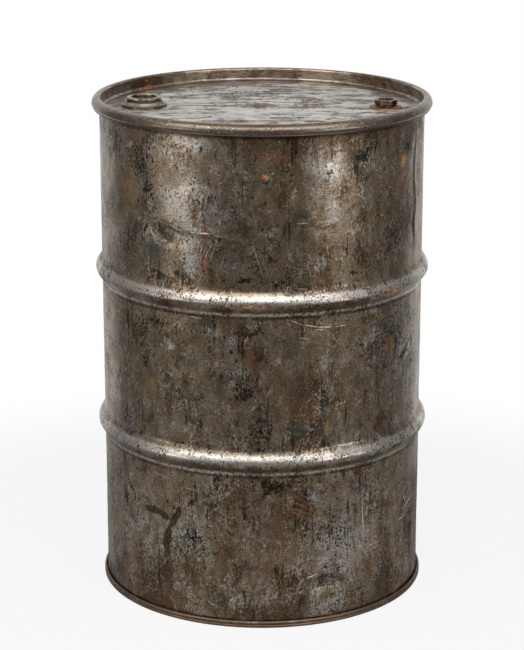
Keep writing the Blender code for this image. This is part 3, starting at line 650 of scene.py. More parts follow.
def drumSteel():
    material, sheet = newMaterial("drumSteel")
    place = sheet.place()
    x, y, z = sheet.parts(place)
    flat = sheet.joined(sheet.maths("ARCTAN2", x, 0 - y) * drumWall["radius"], z)
    fields = grainFields(sheet, place, drumGrains)
    fields |= {kind: sheet.painted(kind) for kind in drumMarks}
    fields["z"] = z
    coat = Coat(sheet, drumFinish, fields, "dullSteel")
    where, lay = coat.where, coat.lay
    fields["low"] = where(0.27, 0.03, z=1, patch=0.25)
    # under: rises towards the top below the chime, painted shade that browns the film there
    fields["under"] = where(0.80, 0.872, z=1, patch=0.10)

    # worn steel against dull film, in upright patches, with painted highlights along the creases from the pale marks
    worn = fields["worn"] = where(-0.02, 0.28, cloud=0.8, patch=0.7, blotch=0.4, grit=0.4, streak=0.3, pale=0.42)
    lay("bareSteel", worn)
    browned = fields["browned"] = where(0.04, 0.26, patch=0.9, cloud=-0.8, streak=0.25, grit=0.4, low=0.06,
                                        under=0.20, brown=0.16)
    lay("brownFilm", browned * 0.75)
    # dark film in patches, with painted shade in the dents and creases from the dark marks
    lay("darkFilmAndShade", where(0.10, 0.34, blotch=0.8, patch=0.8, streak=0.3, grit=0.5, dark=0.42) * 0.85)
    # crisp flakes of film, dark and bare
    lay("darkFilmAndShade", where(0.06, 0.11, crisp=1, grit=0.3, patch=0.6, dark=0.10) * 0.6)
    lay("bareSteel", where(-0.05, -0.11, crisp=1, grit=0.3, patch=0.5, pale=-0.10) * 0.5)
    # small dark and bright specks
    pepper = where(0.06, 0.17, fineGrit=1, grit=0.7, blotch=0.6, patch=0.4, low=0.05, black=0.10, mauve=-0.05)
    lay("darkFilmAndShade", pepper * 0.85)
    lay("blackPit", worn * where(0.065, 0.13, fineGrit=1, grit=0.6) * 0.85)
    lay("silver", where(0.12, 0.22, fineGrit=1, grit=-0.5, blotch=0.9, patch=0.5, pale=0.14, low=0.08, browned=-0.14)
        * 0.6)
    # smooth films and tints from oil and heat
    lay("smoothFilm", where(0.30, 0.75, film=0.9, blotch=0.5, grit=0.3) * 0.85)
    # dark smears and painted shade beside the dents and creases
    lay("darkSmearAndShade", where(0.35, 0.80, smear=0.9, blotch=0.35, grit=0.25) * 0.9)
    lay("mauveFilm", where(0.25, 0.60, mauve=0.6, blotch=1.1, grit=0.9) * 0.75)
    lay("oilTint", where(0.02, 0.16, tint=1) * 0.4)
    lay("heatTint", where(-0.04, -0.18, tint=1) * 0.5)
    # the finest grain, and freckles of rust
    lay("darkFilmAndShade", where(0.02, -0.14, micro=1) * 0.5)
    lay("silver", where(0.10, 0.24, micro=1, worn=0.15) * 0.18)
    lay("freckle", where(0.20, 0.30, freckle=1, patch=1.1, tint=0.9, brown=0.10) * 0.8)
    # rust and dirt, placed and scattered
    lay("ochreRust", where(0.26, 0.50, ochre=0.42, grit=1.8, blotch=1.3) * 0.75)
    rust = where(0.24, 0.42, brown=0.46, grit=1.5, blotch=1.1, low=0.06)
    lay("brownRust", rust * 0.85)
    red = where(0.32, 0.50, red=0.48, grit=1.5, blotch=1.0)
    lay("redRust", red * 0.8)
    orange = where(0.38, 0.54, orange=0.54, grit=1.9, blotch=0.8, scatter=0.8, low=0.04)
    shade = where(-0.08, 0.12, fineGrit=1, blotch=0.6)
    lay(sheet.blend(drumFinish["orangeRust"], drumFinish["brownRust"], shade * 0.85), orange)
    black = where(0.31, 0.42, black=0.62, grit=1.2, fineGrit=1.6, blotch=0.7, scatter=0.3)
    lay("blackPit", black * 0.92)
    lay("blackPit", where(0.25, 0.33, pits=1.3, patch=0.6, cloud=0.5, low=0.08, black=0.10, grit=0.5) * 0.85)
    ochre = where(0.36, 0.50, ochre=0.46, fineGrit=1.6, blotch=1.0)
    lay("tan", ochre * 0.6)
    lay("blackPit", where(0.30, 0.42, scar=1, blotch=0.5, grit=0.4) * 0.6)
    scar = sheet.blend(drumFinish["scarLight"], drumFinish["scarDark"], where(-0.08, 0.10, grit=1, blotch=0.6))
    lay(scar, where(0.42, 0.55, scar=1, blotch=0.5, grit=0.4))
    # upright dark dashes, and crooked hair cracks
    lay("blackPit", where(0.14, 0.19, drip=1, patch=0.7) * where(-0.08, 0.04, thinStreak=1) * 0.75)
    lay("blackPit", sheet.cracks(fields["crack"], 0.004, 0.016) * where(0.02, 0.12, patch=1, grit=0.5) * 0.7)
    # hairline scratches and painted crease highlights, placed, and scratches scattered
    bright, dull = 0.0, 0.0
    for layer in range(hairLayers):
        across, along, strength = sheet.parts(sheet.painted("hairs" + str(layer), 1))
        line = sheet.fall(sheet.length(sheet.joined(across, along)), 0.35, 1.0)
        bright = sheet.highest(bright, line * strength)
        dull = sheet.highest(dull, line * (0 - strength))
    for turn, seed in ((-68, 1.0), (25, 5.0)):
        hairs = sheet.hairs(flat, turn, seed, (16, 520, 1))
        bright = sheet.highest(bright, sheet.fade(hairs + 0.3 * fields["patch"], 0.79, 0.86) * 0.5)
    lay("scratchAndGlint", bright * where(-0.14, 0.02, grit=1))
    lay("blackPit", dull * 0.9)
    # a brown foot, and painted shadow under the chime
    lay("brownFilm", where(0.05, 0.018, z=1) * 0.35)
    lay("blackPit", where(0.861, 0.869, z=1, blotch=0.006) * 0.8)
    for hoop in drumWall["hoops"]:  # painted shade on the lower flank, a painted reflection line and a dark line near its foot, and the crest and upper flank rubbed bright, partly a painted highlight
        flank = (z - hoop) / drumWall["hoopHalf"]
        # painted shade on the lower flank
        lay("darkFilmAndShade", sheet.band(flank, -0.80, -0.62, -0.40, -0.10) * where(-0.25, 0.10, blotch=1, patch=0.5) * 0.7)
        # a painted reflection line near the foot of the hoop
        lay("silver", sheet.band(flank, -1.02, -0.92, -0.82, -0.70) * where(0.10, -0.08, grit=1, patch=0.5) * 0.45)
        lay("blackPit", sheet.band(flank, -1.30, -1.14, -1.08, -0.98) * where(-0.23, 0.05, blotch=1, patch=0.3) * 0.7)
        # crest and upper flank rubbed bright, partly a painted highlight
        lay("silver", sheet.band(flank, -0.15, 0.1, 0.45, 0.75) * where(0.12, 0.0, fineGrit=1, blotch=0.7) * 0.6)
        lay("blackPit", sheet.band(flank, -0.2, 0.1, 0.8, 1.2) * where(0.14, 0.20, pits=1, fineGrit=0.6, blotch=0.5)
            * 0.8)

    rusty = sheet.highest(sheet.highest(orange, rust * 0.8), sheet.highest(red * 0.8, ochre * 0.6))
    rough = 0.355 + 0.20 * fields["patch"] - 0.04 * worn + 0.10 * browned + 0.12 * pepper + 0.25 * fields["blotch"]
    rough = sheet.lerp(rough, 0.72, sheet.highest(rusty, black * 0.8))
    metal = 1 - 0.85 * orange - 0.5 * rust - 0.5 * red
    height = 0.6 * fields["grit"] + 0.9 * fields["blotch"] - 0.5 * black - 0.5 * dull + 0.35 * orange - 0.4 * bright
    normal = sheet.bump(fields["patch"], 0.35, 0.004, sheet.bump(height, 0.30, 0.0009))
    sheet.finishAs(colour=coat.colour, roughness=rough, metal=metal, normal=normal)
    return material


dress(buildDrumWall(), drumSteel(), "drum", "body_steel", "body_shell")


# top head with its chime and bung bosses

topHead = {
    "height": cadHigh.z,
    "panel": 0.8680,
    "sheet": 0.0012,
    "wallRadius": 0.2849,  # middle of the sheet in the recess wall
    "corner": 0.0060,
    "beadRadius": 0.3003,
    "steps": 288,
    "panelStep": 0.0060,
    "panelWave": 0.00055,
}
largeBoss = {"centre": middleOf("large_flange"), "foot": 0.0790, "across": 0.0760, "rise": 0.0050,
             "shoulder": 0.0350, "shoulderRise": 0.0076, "neck": 0.0316, "neckRise": 0.0102}
smallBoss = {"centre": middleOf("small_flange"), "foot": 0.0570, "across": 0.0540, "rise": 0.0024,
             "shoulder": 0.0215, "shoulderRise": 0.0036, "neck": 0.0168, "neckRise": 0.0039}
bossSteps = 96


def chimeLine():
    size = topHead
    top = size["height"]
    sheet = size["sheet"]
    outer = size["beadRadius"] - sheet / 2
    hook, crest = 0.2885, 0.2898
    low, widest = top - 0.0202 + sheet / 2, top - 0.0125
    line = [(hook, top - 0.0095), (hook, top - 0.0130)]
    line += arcLine((hook + 0.0038, low + 0.0038), 0.0038, 0.0038, 180, 270, 8)
    line += roundedLine([(0.2945, low + 0.0001), (0.2962, low + 0.0004), (0.2972, low + 0.0011),
                         (0.2968, low + 0.0020),
                         (0.2966, low + 0.0027), (0.2976, low + 0.0036), (0.2990, low + 0.0052), (outer, widest)], 3)
    line += arcLine((crest, widest), outer - crest, top - sheet / 2 - widest, 0, 90, 12)[1:]
    line += arcLine((0.2878, top - sheet / 2 - 0.0036), 0.2878 - size["wallRadius"], 0.0036, 90, 180, 7)
    middle = size["panel"] - sheet / 2 + size["corner"]
    line += [(size["wallRadius"], top - 0.009), (size["wallRadius"], top - 0.013)]
    line += arcLine((size["wallRadius"] - size["corner"], middle), size["corner"], size["corner"], 360, 270, 8)
    return offsetLine(line, sheet / 2)


def bossRings(boss):
    level = topHead["panel"]
    centre = boss["centre"]
    foot, across = boss["foot"], boss["across"]
    rings = [octagonRing(foot, level, bossSteps, centre)]
    for share in (0.12, 0.3, 0.5, 0.7, 0.85):
        rings.append(octagonRing(foot + (across - foot) * share, level + boss["rise"] * share, bossSteps, centre))
    for share in (0.25, 0.5, 0.75, 1.0):
        turn = share * math.pi / 2
        rings.append(octagonRing(across - 0.0016 * (1 - math.cos(turn)), level + boss["rise"] * 0.85
                                 + boss["rise"] * 0.15 * math.sin(turn), bossSteps, centre, 0.05 * share))
    start, shoulder = across / 2 - 0.0016, boss["shoulder"]
    for share in (0.2, 0.4, 0.6, 0.8, 1.0):
        ring = octagonRing(2 * (start + (shoulder - start) * share), level + boss["rise"]
                           + (boss["shoulderRise"] - boss["rise"]) * share ** 1.3, bossSteps, centre, 0.05 + 0.95
                           * share)
        rings.append(ring)
    drop = boss["neckRise"] - boss["shoulderRise"]
    for share in (0.12, 0.3, 0.5, 0.7, 0.88, 1.0):
        turn = share * math.pi / 2
        rings.append(roundRing(shoulder - (shoulder - boss["neck"]) * (1 - math.cos(turn)) ** 0.8,
                               level + boss["shoulderRise"] + drop * math.sin(turn), bossSteps, centre))
    rings.append(roundRing(boss["neck"] - 0.0004, level + boss["neckRise"] - 0.0010, bossSteps, centre))
    return rings


def panelHeight(points):
    x, y = points[:, 0], points[:, 1]
    radius = np.hypot(x, y)
    calm = 1 - smoothStep(radius, 0.235, 0.272)
    for boss in (largeBoss, smallBoss):
        gap = np.hypot(x - boss["centre"][0], y - boss["centre"][1])
        calm = calm * smoothStep(gap, boss["foot"] * 0.55, boss["foot"] * 0.95)
    flat = np.zeros_like(x)
    wave = wander(x, y * 1.4, flat, 0.11, 3) + 0.5 * wander(x, y, flat, 0.045, 8) + 0.22 * wander(x, y * 2, flat,
            0.02, 11)
    return topHead["panel"] + topHead["panelWave"] * calm * wave


def buildTopHead():
    size = topHead
    line = chimeLine()
    points, faces = skinOf(roundRings(line, size["steps"]))
    points = [tuple(point) for point in points]
    edgeStart = len(points) - size["steps"]
    edge = [(point[0], point[1]) for point in points[edgeStart:]]
    flatPoints = list(edge)
    links = [(i, (i + 1) % size["steps"]) for i in range(size["steps"])]
    bosses = []
    for boss in (largeBoss, smallBoss):
        rings = bossRings(boss)
        first = len(flatPoints)
        flatPoints += [(point[0], point[1]) for point in rings[0]]
        links += [(first + i, first + (i + 1) % bossSteps) for i in range(bossSteps)]
        bosses.append((boss, rings, first))
    edgeRadius = math.hypot(*edge[0])
    radius = edgeRadius - size["panelStep"] * 0.8
    while radius > 0:
        count = max(int(2 * math.pi * radius / size["panelStep"]), 6)
        for i in range(count):
            turn = 2 * math.pi * (i + (radius * 777) % 1) / count
            x, y = radius * math.cos(turn), radius * math.sin(turn)
            if all(math.hypot(x - b["centre"][0], y - b["centre"][1]) > b["foot"] * 0.55 + 0.002 for b, _,
                   _ in bosses):
                flatPoints.append((x, y))
        radius -= size["panelStep"]
    made = delaunay_2d_cdt([Vector(point) for point in flatPoints], links, [], 0, 1e-7)
    flat = np.array([(v.x, v.y) for v in made[0]])
    heights = panelHeight(flat)
    offset = len(points)
    points += [(x, y, height) for (x, y), height in zip(flat, heights)]
    for face in made[2]:
        middle = flat[list(face)].mean(0)
        if math.hypot(*middle) > edgeRadius - 1e-5:
            continue
        inside = False
        for boss, rings, first in bosses:
            gap = middle - np.array(boss["centre"])
            turn = (math.atan2(gap[1], gap[0]) + math.pi / 8) % (math.pi / 4) - math.pi / 8
            reach = boss["foot"] / 2 * min(1 / math.cos(turn), 1.055)
            inside = inside or math.hypot(*gap) < reach - 1e-5
        if not inside:
            faces.append([offset + i for i in face])
    for boss, rings, first in bosses:
        bossPoints, bossFaces = skinOf(rings, start=len(points))
        points += [tuple(point) for point in bossPoints]
        faces += bossFaces
    piece = makePiece("drumHead", points, faces, 50)
    shape = bmesh.new()
    shape.from_mesh(piece.data)
    bmesh.ops.remove_doubles(shape, verts=shape.verts, dist=2e-5)
    shape.to_mesh(piece.data)
    shape.free()
    piece.data.set_sharp_from_angle(angle=math.radians(50))
    print("top head:", len(piece.data.vertices), "points")
    return piece


headFinish = {
    "panelSteel": (0.50, 0.48, 0.44),
    "panelDull": (0.21, 0.185, 0.155),
    "chimeSteel": (0.158, 0.124, 0.094),
    "chimeDarkAndShade": (0.060, 0.045, 0.032),
    "streak": (0.10, 0.080, 0.060),
    "brownRust": (0.16, 0.080, 0.040),
    "orangeRust": (0.34, 0.135, 0.036),
    "silver": (0.66, 0.63, 0.58),
    "blackPit": (0.016, 0.013, 0.010),
    "wipe": (0.050, 0.038, 0.028),
    "recess": (0.41, 0.333, 0.262),
    "lipRust": (0.22, 0.095, 0.035),
    "moundRust": (0.13, 0.066, 0.032),
    "moundSteel": (0.20, 0.155, 0.105),
    "moundShade": (0.050, 0.038, 0.026),
}

headGrains = {
    "cloud": (6, 1, 3, 0.5, 2.0),
    "patch": (17, 1, 5, 0.62, 5.0),
    "blotch": (52, 1, 4, 0.62, 8.0),
    "grit": (240, 1, 3, 0.6, 3.0),
    "fineGrit": (430, 1, 2, 0.6, 13.0),
}

# stains on the panel: how noise moves them (field, across, along), middle, half sizes, where they fade, strength
headStains = (
    ("blotch", 0.03, 0.06, (-0.004, 0.01), (0.034, 0.030), 0.4, 1.0),
    ("patch", 0.0, 0.05, (0.085, 0.03), (0.040, 0.085), 0.3, 0.8),
    ("patch", 0.0, 0.04, (-0.06, 0.12), (0.060, 0.030), 0.3, 0.7),
)


def headSteel():
    material, sheet = newMaterial("headSteel")
    place = sheet.place()
    x, y, z = sheet.parts(place)
    radius = sheet.length(sheet.joined(x, y))
    fields = grainFields(sheet, place, headGrains) | {"z": z, "radius": radius}
    fields["wipes"] = sheet.noise(place, (3.0, 1.0, 0.0), (13, 72, 20), 4.0, 0.6) - 0.5
    fields["fineWipes"] = sheet.noise(place, (7.0, 2.0, 0.0), (34, 125, 60), 2.0, 0.6) - 0.5
    coat = Coat(sheet, headFinish, fields, "panelSteel")
    where, lay = coat.where, coat.lay
    onPanel = where(0.274, 0.262, radius=1, blotch=0.012) * where(0.8795, 0.8775, z=1)
    fields["edge"] = where(0.225, 0.268, radius=1, patch=0.05)

    # the panel, wiped and stained
    lay("panelDull", where(0.02, 0.30, patch=0.9, cloud=0.7, edge=0.35))
    lay("streak", where(0.04, 0.12, wipes=1, patch=0.6) * 0.6)
    lay("wipe", where(0.065, 0.12, fineWipes=1, wipes=0.5, blotch=0.5) * 0.85)
    lay("silver", where(-0.05, -0.18, wipes=1) * 0.6)
    for turn, seed in ((9, 2.0), (-16, 7.0)):
        hairs = sheet.hairs(place, turn, seed, (9, 190, 1), 0.3)
        lay("streak", sheet.fade(hairs + 0.5 * fields["patch"], 0.64, 0.72) * 0.6)
    stain = 0.0
    for field, across, along, middle, size, inner, strength in headStains:
        spot = sheet.joined(x + across * fields[field], y + along * fields[field])
        stain = sheet.highest(stain, sheet.fall(sheet.mark(spot, *middle, *size), inner, 1.2) * strength)
    fields["stain"] = stain
    vein = sheet.cracks(sheet.grain(place, 34, 1, 3, 0.55, 71.0, 0.6) - 0.5, 0.012, 0.045)
    lay("streak", vein * where(0.05, 0.22, stain=0.5, patch=1, grit=0.4) * 0.8)
    drawn = sheet.joined(x, y * 0.28)
    crack = sheet.cracks(sheet.grain(drawn, 62, 1, 4, 0.6, 91.0) - 0.5, 0.008, 0.030)
    fields["flecks"] = sheet.grain(drawn, 130, 1, 3, 0.65, 95.0) - 0.5
    lay("streak", crack * where(0.12, 0.30, stain=0.55, patch=1, blotch=0.5) * 0.9)
    lay("brownRust", where(0.26, 0.36, stain=0.34, flecks=1.5, patch=0.6) * 0.85)
    lay("streak", where(0.09, 0.15, flecks=1, wipes=0.5, patch=0.4) * 0.75)
    scrawl = where(0.40, 0.58, stain=0.5, blotch=1.4, wipes=1.4)
    lay("streak", scrawl * 0.7)
    brown = where(0.42, 0.62, stain=0.45, wipes=1.4, grit=1.2)
    lay("brownRust", brown * 0.8)

    # the chime and the recess wall
    rim = Coat(sheet, headFinish, fields, "chimeSteel")
    rim.lay("chimeDarkAndShade", where(-0.02, 0.26, patch=0.7, blotch=0.8, grit=0.7))
    rim.lay("silver", where(0.10, 0.20, fineGrit=1, blotch=0.6) * 0.4)
    rim.lay("blackPit", where(-0.09, -0.18, fineGrit=1, grit=0.6) * 0.6)
    rim.lay("brownRust", where(0.06, 0.20, patch=1, grit=0.7) * 0.6)
    # painted shade on the underside of the bead
    rim.lay("chimeDarkAndShade", sheet.fall(z, 0.8735, 0.8765) * sheet.fade(radius, 0.286, 0.290) * 0.7)
    recessWall = sheet.fall(radius, 0.2850, 0.2862)
    around = sheet.maths("ARCTAN2", x, 0 - y) * 0.285
    fields["bands"] = sheet.grain(sheet.joined(around * 0.06, z), 900, 1, 3, 0.6, 97.0) - 0.5
    rim.lay("recess", recessWall * where(0.06, -0.08, bands=1, blotch=0.5, patch=0.7) * 0.85)
    rim.lay("streak", recessWall * where(0.06, 0.14, bands=1, grit=0.4) * 0.6)
    lip = recessWall * sheet.band(z, 0.8835, 0.8845, 0.8860, 0.8875)
    rim.lay("lipRust", lip * where(-0.08, 0.06, blotch=1, grit=0.8) * 0.8)
    coat.colour = sheet.blend(rim.colour, coat.colour, onPanel)
    speck = where(0.20, 0.28, grit=1, blotch=0.8)
    lay("blackPit", speck * 0.7)

    # orange at the foot of the recess wall, sparse spots, dirt around both bungs, and painted shade on the large
    # boss's lower facets
    def moundOf(boss, spread, low, high):
        middle = (*boss["centre"], topHead["panel"] + 0.002)
        gap = sheet.node("ShaderNodeVectorMath", {"operation": "DISTANCE"}, {0: place, 1: middle}, 1)
        return sheet.fall(gap + spread * fields["blotch"], low, high)

    fields["foot"] = sheet.fade(radius, 0.268, 0.277) * sheet.fall(z, 0.870, 0.874)
    orange = where(0.42, 0.58, foot=0.26, grit=1.5, patch=1.5)
    mound = moundOf(smallBoss, 0.010, 0.0290, 0.0320)
    lay("moundRust", mound * 0.9)
    orange = sheet.highest(orange, mound * where(-0.02, 0.22, grit=1.6, blotch=1.4) * 0.8)
    lay("orangeRust", orange * 0.8)
    mound = moundOf(largeBoss, 0.008, 0.0400, 0.0430)
    lay("moundSteel", mound * 0.7)
    # painted shade on the lower facets of the large boss
    lay("moundShade", mound * sheet.fall(z, 0.8722, 0.8732) * 0.85)
    rough = sheet.lerp(0.34, 0.56, onPanel) + 0.35 * fields["blotch"] + 0.25 * fields["wipes"] + 0.15 * scrawl
    rough = sheet.lerp(rough, 0.70, sheet.highest(orange, brown * 0.6))
    metal = 1 - 0.6 * orange - 0.35 * brown
    height = 0.5 * fields["grit"] + 0.8 * fields["blotch"] - 0.3 * speck + 0.3 * orange
    normal = sheet.bump(fields["patch"], 0.25, 0.003, sheet.bump(height, 0.25, 0.0008))
    sheet.finishAs(colour=coat.colour, roughness=rough, metal=metal, normal=normal)
    return material


dress(buildTopHead(), headSteel(), "drum", "head_steel", "top_head")


# bottom head and chime

bottomHead = {
    "radius": 0.2933,
    "panel": 0.0200,
    "steps": 288,
    "wallRadius": 0.2849,
    "corner": 0.0060,
}


def buildBottomHead():
    size = bottomHead
    outer = size["radius"]
    wall = size["wallRadius"] - 0.0006
    line = [(0.0004, size["panel"]), (0.05, size["panel"]), (0.12, size["panel"]), (0.2, size["panel"]),
            (0.25, size["panel"])]
    line += arcLine((wall - size["corner"], size["panel"] - size["corner"]), size["corner"], size["corner"], 90, 0, 8)
    line += [(wall, 0.008), (wall, 0.0042)]
    line += arcLine((wall + 0.0026, 0.0028), 0.0026, 0.0028, 180, 270, 6)
    line += [(outer - 0.0036, 0.0)]
    # two rolled ridges with a groove between them
    line += roundedLine([(outer - 0.0022, 0.0001), (outer - 0.0009, 0.0008), (outer - 0.0001, 0.0024),
                         (outer - 0.0003, 0.0042),
                         (outer - 0.0012, 0.0054), (outer - 0.0010, 0.0064), (outer, 0.0080),
                         (outer - 0.0004, 0.0100),
                         (outer - 0.0016, 0.0116), (outer - 0.0030, 0.0122), (outer - 0.0042, 0.0112),
                         (outer - 0.0046, 0.0080)], 3)
    piece = turned("drumFoot", line, size["steps"], sharp=50, capStart=True)
    for vertex in piece.data.vertices:
        radius = math.hypot(vertex.co.x, vertex.co.y)
        if radius < 0.26:
            vertex.co.z -= 0.0006 * (1 - radius / 0.26) * (1 + noise.noise(vertex.co * 12))
    print("bottom head:", len(piece.data.vertices), "points")
    return piece


footFinish = {
    "steel": (0.115, 0.080, 0.055),
    "worn": (0.26, 0.215, 0.17),
    "brownRust": (0.13, 0.058, 0.028),
    "orangeRust": (0.42, 0.16, 0.035),
    "blackPit": (0.018, 0.014, 0.011),
}
footGrains = {
    "patch": (14, 1, 5, 0.62, 6.0),
    "blotch": (55, 1, 4, 0.62, 9.0),
    "grit": (240, 1, 3, 0.6, 4.0),
}


def footSteel():
    material, sheet = newMaterial("footSteel")
    fields = grainFields(sheet, sheet.place(), footGrains)
    coat = Coat(sheet, footFinish, fields, "steel")
    where, lay = coat.where, coat.lay
    lay("worn", where(-0.02, 0.26, patch=0.8, blotch=0.8, grit=0.6))
    brown = where(0.02, 0.18, blotch=1, grit=0.8, patch=-0.5)
    lay("brownRust", brown * 0.7)
    orange = where(0.26, 0.40, patch=1.6, grit=1, blotch=0.4)
    lay("orangeRust", orange * 0.8)
    lay("blackPit", where(0.16, 0.26, grit=1, blotch=0.8) * 0.7)
    rough = 0.42 + 0.3 * fields["blotch"] + 0.25 * orange + 0.15 * brown
    normal = sheet.bump(0.5 * fields["grit"] + fields["blotch"], 0.3, 0.0008)
    sheet.finishAs(colour=coat.colour, roughness=rough, metal=1 - 0.6 * orange - 0.3 * brown, normal=normal)
    return material


dress(buildBottomHead(), footSteel(), "drum", "bottom_steel", "bottom_head")


# bung flanges, plugs and gaskets

largeFitting = {"threadRadius": 0.0280, "pitch": 0.002309, "neckWall": 0.0024, "crimp": 0.0026,
                "threadDepth": 0.0010, "base": 0.0724}
smallFitting = {"threadRadius": 0.0132, "pitch": 0.001814, "neckWall": 0.0024, "crimp": 0.0026,
                "threadDepth": 0.0008, "base": 0.0504}
fittingSteps = 96


def threadRings(radius, depth, low, high, pitch, centre):  # a right-hand screw thread cut into a round wall
    turns = np.arange(fittingSteps) * 2 * math.pi / fittingSteps
    rings = []
    for height in np.linspace(low, high, max(int((high - low) / pitch * 8), 8) + 1):
        phase = (height / pitch - turns / (2 * math.pi)) % 1
        cut = depth * smoothStep(np.abs(phase - 0.5) * 2, 0.15, 0.85)
        fadeOut = min(1.0, (height - low) / pitch, (high - height) / pitch)
        radii = radius - cut * fadeOut
        rings.append(np.stack([centre[0] + radii * np.cos(turns), centre[1] + radii * np.sin(turns),
                               np.full(fittingSteps, height)], 1))
    return rings


def buildFlange(name, node, fitting):
    low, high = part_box(node)
    centre = middleOf(node)
    bore = fitting["threadRadius"]
    neck = bore + fitting["neckWall"]
    crimp = neck + fitting["crimp"]
    top, under = high.z, high.z - 0.0012
    seat = low.z + (0.00615 if node == "large_flange" else 0.00507)
    steps = fittingSteps
    rings = [octagonRing(fitting["base"] - trim, height, steps, centre)
             for trim, height in ((0, low.z), (0, seat - 0.0005), (0.001, seat))]
    line = [(neck + 0.0004, seat), (neck, seat + 0.0004), (neck, under), (crimp - 0.0003, under)]
    line += arcLine((crimp - 0.0006, under + 0.0006), 0.0006, 0.0006, -60, 90, 5)
    line += [(neck + 0.0002, top - 0.0001), (bore + 0.0009, top), (bore + 0.0002, top - 0.0004)]
    rings += roundRings(line, steps, centre)
    thread = threadRings(bore + fitting["threadDepth"], fitting["threadDepth"] * 0.95, low.z + 0.0006, top - 0.0007,
                         fitting["pitch"], centre)
    rings += thread[::-1]
    rings.append(roundRing(bore + 0.0006, low.z, steps, centre))
    return makePiece(name, *skinOf(rings, closed=True), 45)


def buildLargePlug():
    low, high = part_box("large_plug")
    centre = middleOf("large_plug")
    under = high.z - 0.0042
    barrel = 0.0277
    steps = fittingSteps
    line = [(0.0003, 0.8688), (0.0180, 0.8688), (0.0235, 0.8690), (0.0243, 0.8684), (0.0245, low.z + 0.0003),
            (0.0249, low.z), (barrel - 0.0012, low.z)]
    rings = roundRings(line, steps, centre)
    rings += threadRings(barrel, largeFitting["threadDepth"], low.z + 0.0008, under - 0.0012, largeFitting["pitch"],
                         centre)
    rim = [(barrel - 0.0006, 0.0), (0.0296, 0.0), (0.0304, 0.00015), (0.0309, 0.0006), (0.0310, 0.0010),
           (0.0308, 0.0014), (0.0304, 0.00165),
           (0.0299, 0.0018), (0.0298, 0.0020), (0.0302, 0.00225), (0.03045, 0.0026), (0.0303, 0.0030),
           (0.0297, 0.0033), (0.0280, 0.00335),
           (0.0268, 0.00335), (0.0264, 0.0035), (0.0261, 0.0039), (0.0256, 0.00415), (0.0250, 0.0042),
           (0.0238, 0.0042), (0.0232, 0.0040), (0.0228, 0.0036)]
    rings += roundRings([(radius, under + rise) for radius, rise in rim], steps, centre)
    floor = high.z - 0.0147
    line = [(0.0226, high.z - 0.0020), (0.0223, high.z - 0.0060), (0.0220, floor + 0.0040), (0.0216, floor + 0.0016),
            (0.0206, floor + 0.0004),
               (0.0190, floor), (0.0120, floor), (0.0040, floor + 0.0002), (0.0004, floor + 0.0003)]
    rings += roundRings(line, steps, centre)
    points, faces = skinOf(rings, capStart=True, capEnd=True)
    points = [tuple(point) for point in points]
    for side in (-1, 1):  # the two lugs that a bung wrench turns
        block = []
        for height, grow in ((floor - 0.001, 0.0), (floor + 0.0062, 0.0), (floor + 0.0068, -0.0004),
                             (floor + 0.0070, -0.0011)):
            inner, outer, half = 0.0142 - grow, 0.0229, 0.0045 + grow
            ring = []
            for a, b in ((inner, -half), (outer, -half), (outer, half), (inner, half)):
                ring.append((centre[0] + side * a, centre[1] + side * b, height))
            block.append(ring)
        blockPoints, blockFaces = skinOf(block, capStart=True, capEnd=True, start=len(points))
        points += [tuple(point) for point in blockPoints]
        faces += blockFaces
    print("large plug:", len(points), "points")
    return makePiece("largePlug", points, faces, 38)


def buildSmallPlug():
    low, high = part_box("small_plug")
    centre = middleOf("small_plug")
    under = high.z - 0.0085
    barrel = 0.0129
    across = 0.0396
    steps = fittingSteps
    rings = roundRings([(0.0003, low.z), (barrel - 0.0011, low.z)], steps, centre)
    rings += threadRings(barrel, smallFitting["threadDepth"], low.z + 0.0007, under - 0.0010, smallFitting["pitch"],
                         centre)
    rings.append(roundRing(barrel - 0.0004, under, steps, centre))
    head = ((0.0016, under, 0.1, 1.06), (0.0003, under + 0.0004, 0, 1.07), (0, under + 0.0010, 0, 1.075),
            (0, high.z - 0.0016, 0, 1.075), (0.0005, high.z - 0.0008, 0.03, 1.07),
            (0.0018, high.z - 0.0002, 0.25, 1.06),
            (0.0030, high.z, 0.5, 1.05))
    rings += [octagonRing(across - trim, height, steps, centre, roundness, corner) for trim, height, roundness,
              corner in head]
    socket = ((0.0158, 0.0), (0.0148, 0.0001), (0.0141, 0.0006), (0.0137, 0.0016), (0.0135, 0.0045), (0.0131, 0.0062),
              (0.0120, 0.0069), (0.0060, 0.0070), (0.0003, 0.0070))
    rings += roundRings([(radius, high.z - drop) for radius, drop in socket], steps, centre)
    return makePiece("smallPlug", *skinOf(rings, capStart=True, capEnd=True), 30)


def buildGasket(name, node, inner):
    low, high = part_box(node)
    centre = middleOf(node)
    outer, half = (high.x - low.x) / 2, (high.z - low.z) / 2
    soft = half * 0.7
    line = []
    for x, z, start in ((outer - soft, low.z + soft, 270), (outer - soft, high.z - soft, 0),
                        (inner + soft, high.z - soft, 90), (inner + soft, low.z + soft, 180)):
        line += arcLine((x, z), soft, soft, start, start + 90, 4)
    return turned(name, line, fittingSteps, centre, sharp=60, closed=True)


fittingFinishes = {
    "plugMetal": {"base": (0.34, 0.27, 0.20), "dark": (0.075, 0.055, 0.040), "edge": (0.62, 0.52, 0.42),
                  "rust": (0.15, 0.075, 0.035), "rustAmount": 0.02, "seed": 2.0},
    "smallPlugMetal": {"base": (0.15, 0.100, 0.066), "dark": (0.040, 0.028, 0.020), "edge": (0.50, 0.38, 0.27),
                       "rust": (0.20, 0.095, 0.035), "rustAmount": 0.06, "seed": 6.0},
    "flangeMetal": {"base": (0.26, 0.19, 0.12), "dark": (0.060, 0.045, 0.030), "edge": (0.52, 0.42, 0.28),
                    "rust": (0.28, 0.12, 0.035), "rustAmount": 0.06, "seed": 9.0},
}
rubberFinish = {"black": (0.016, 0.014, 0.013), "bloom": (0.060, 0.050, 0.042)}


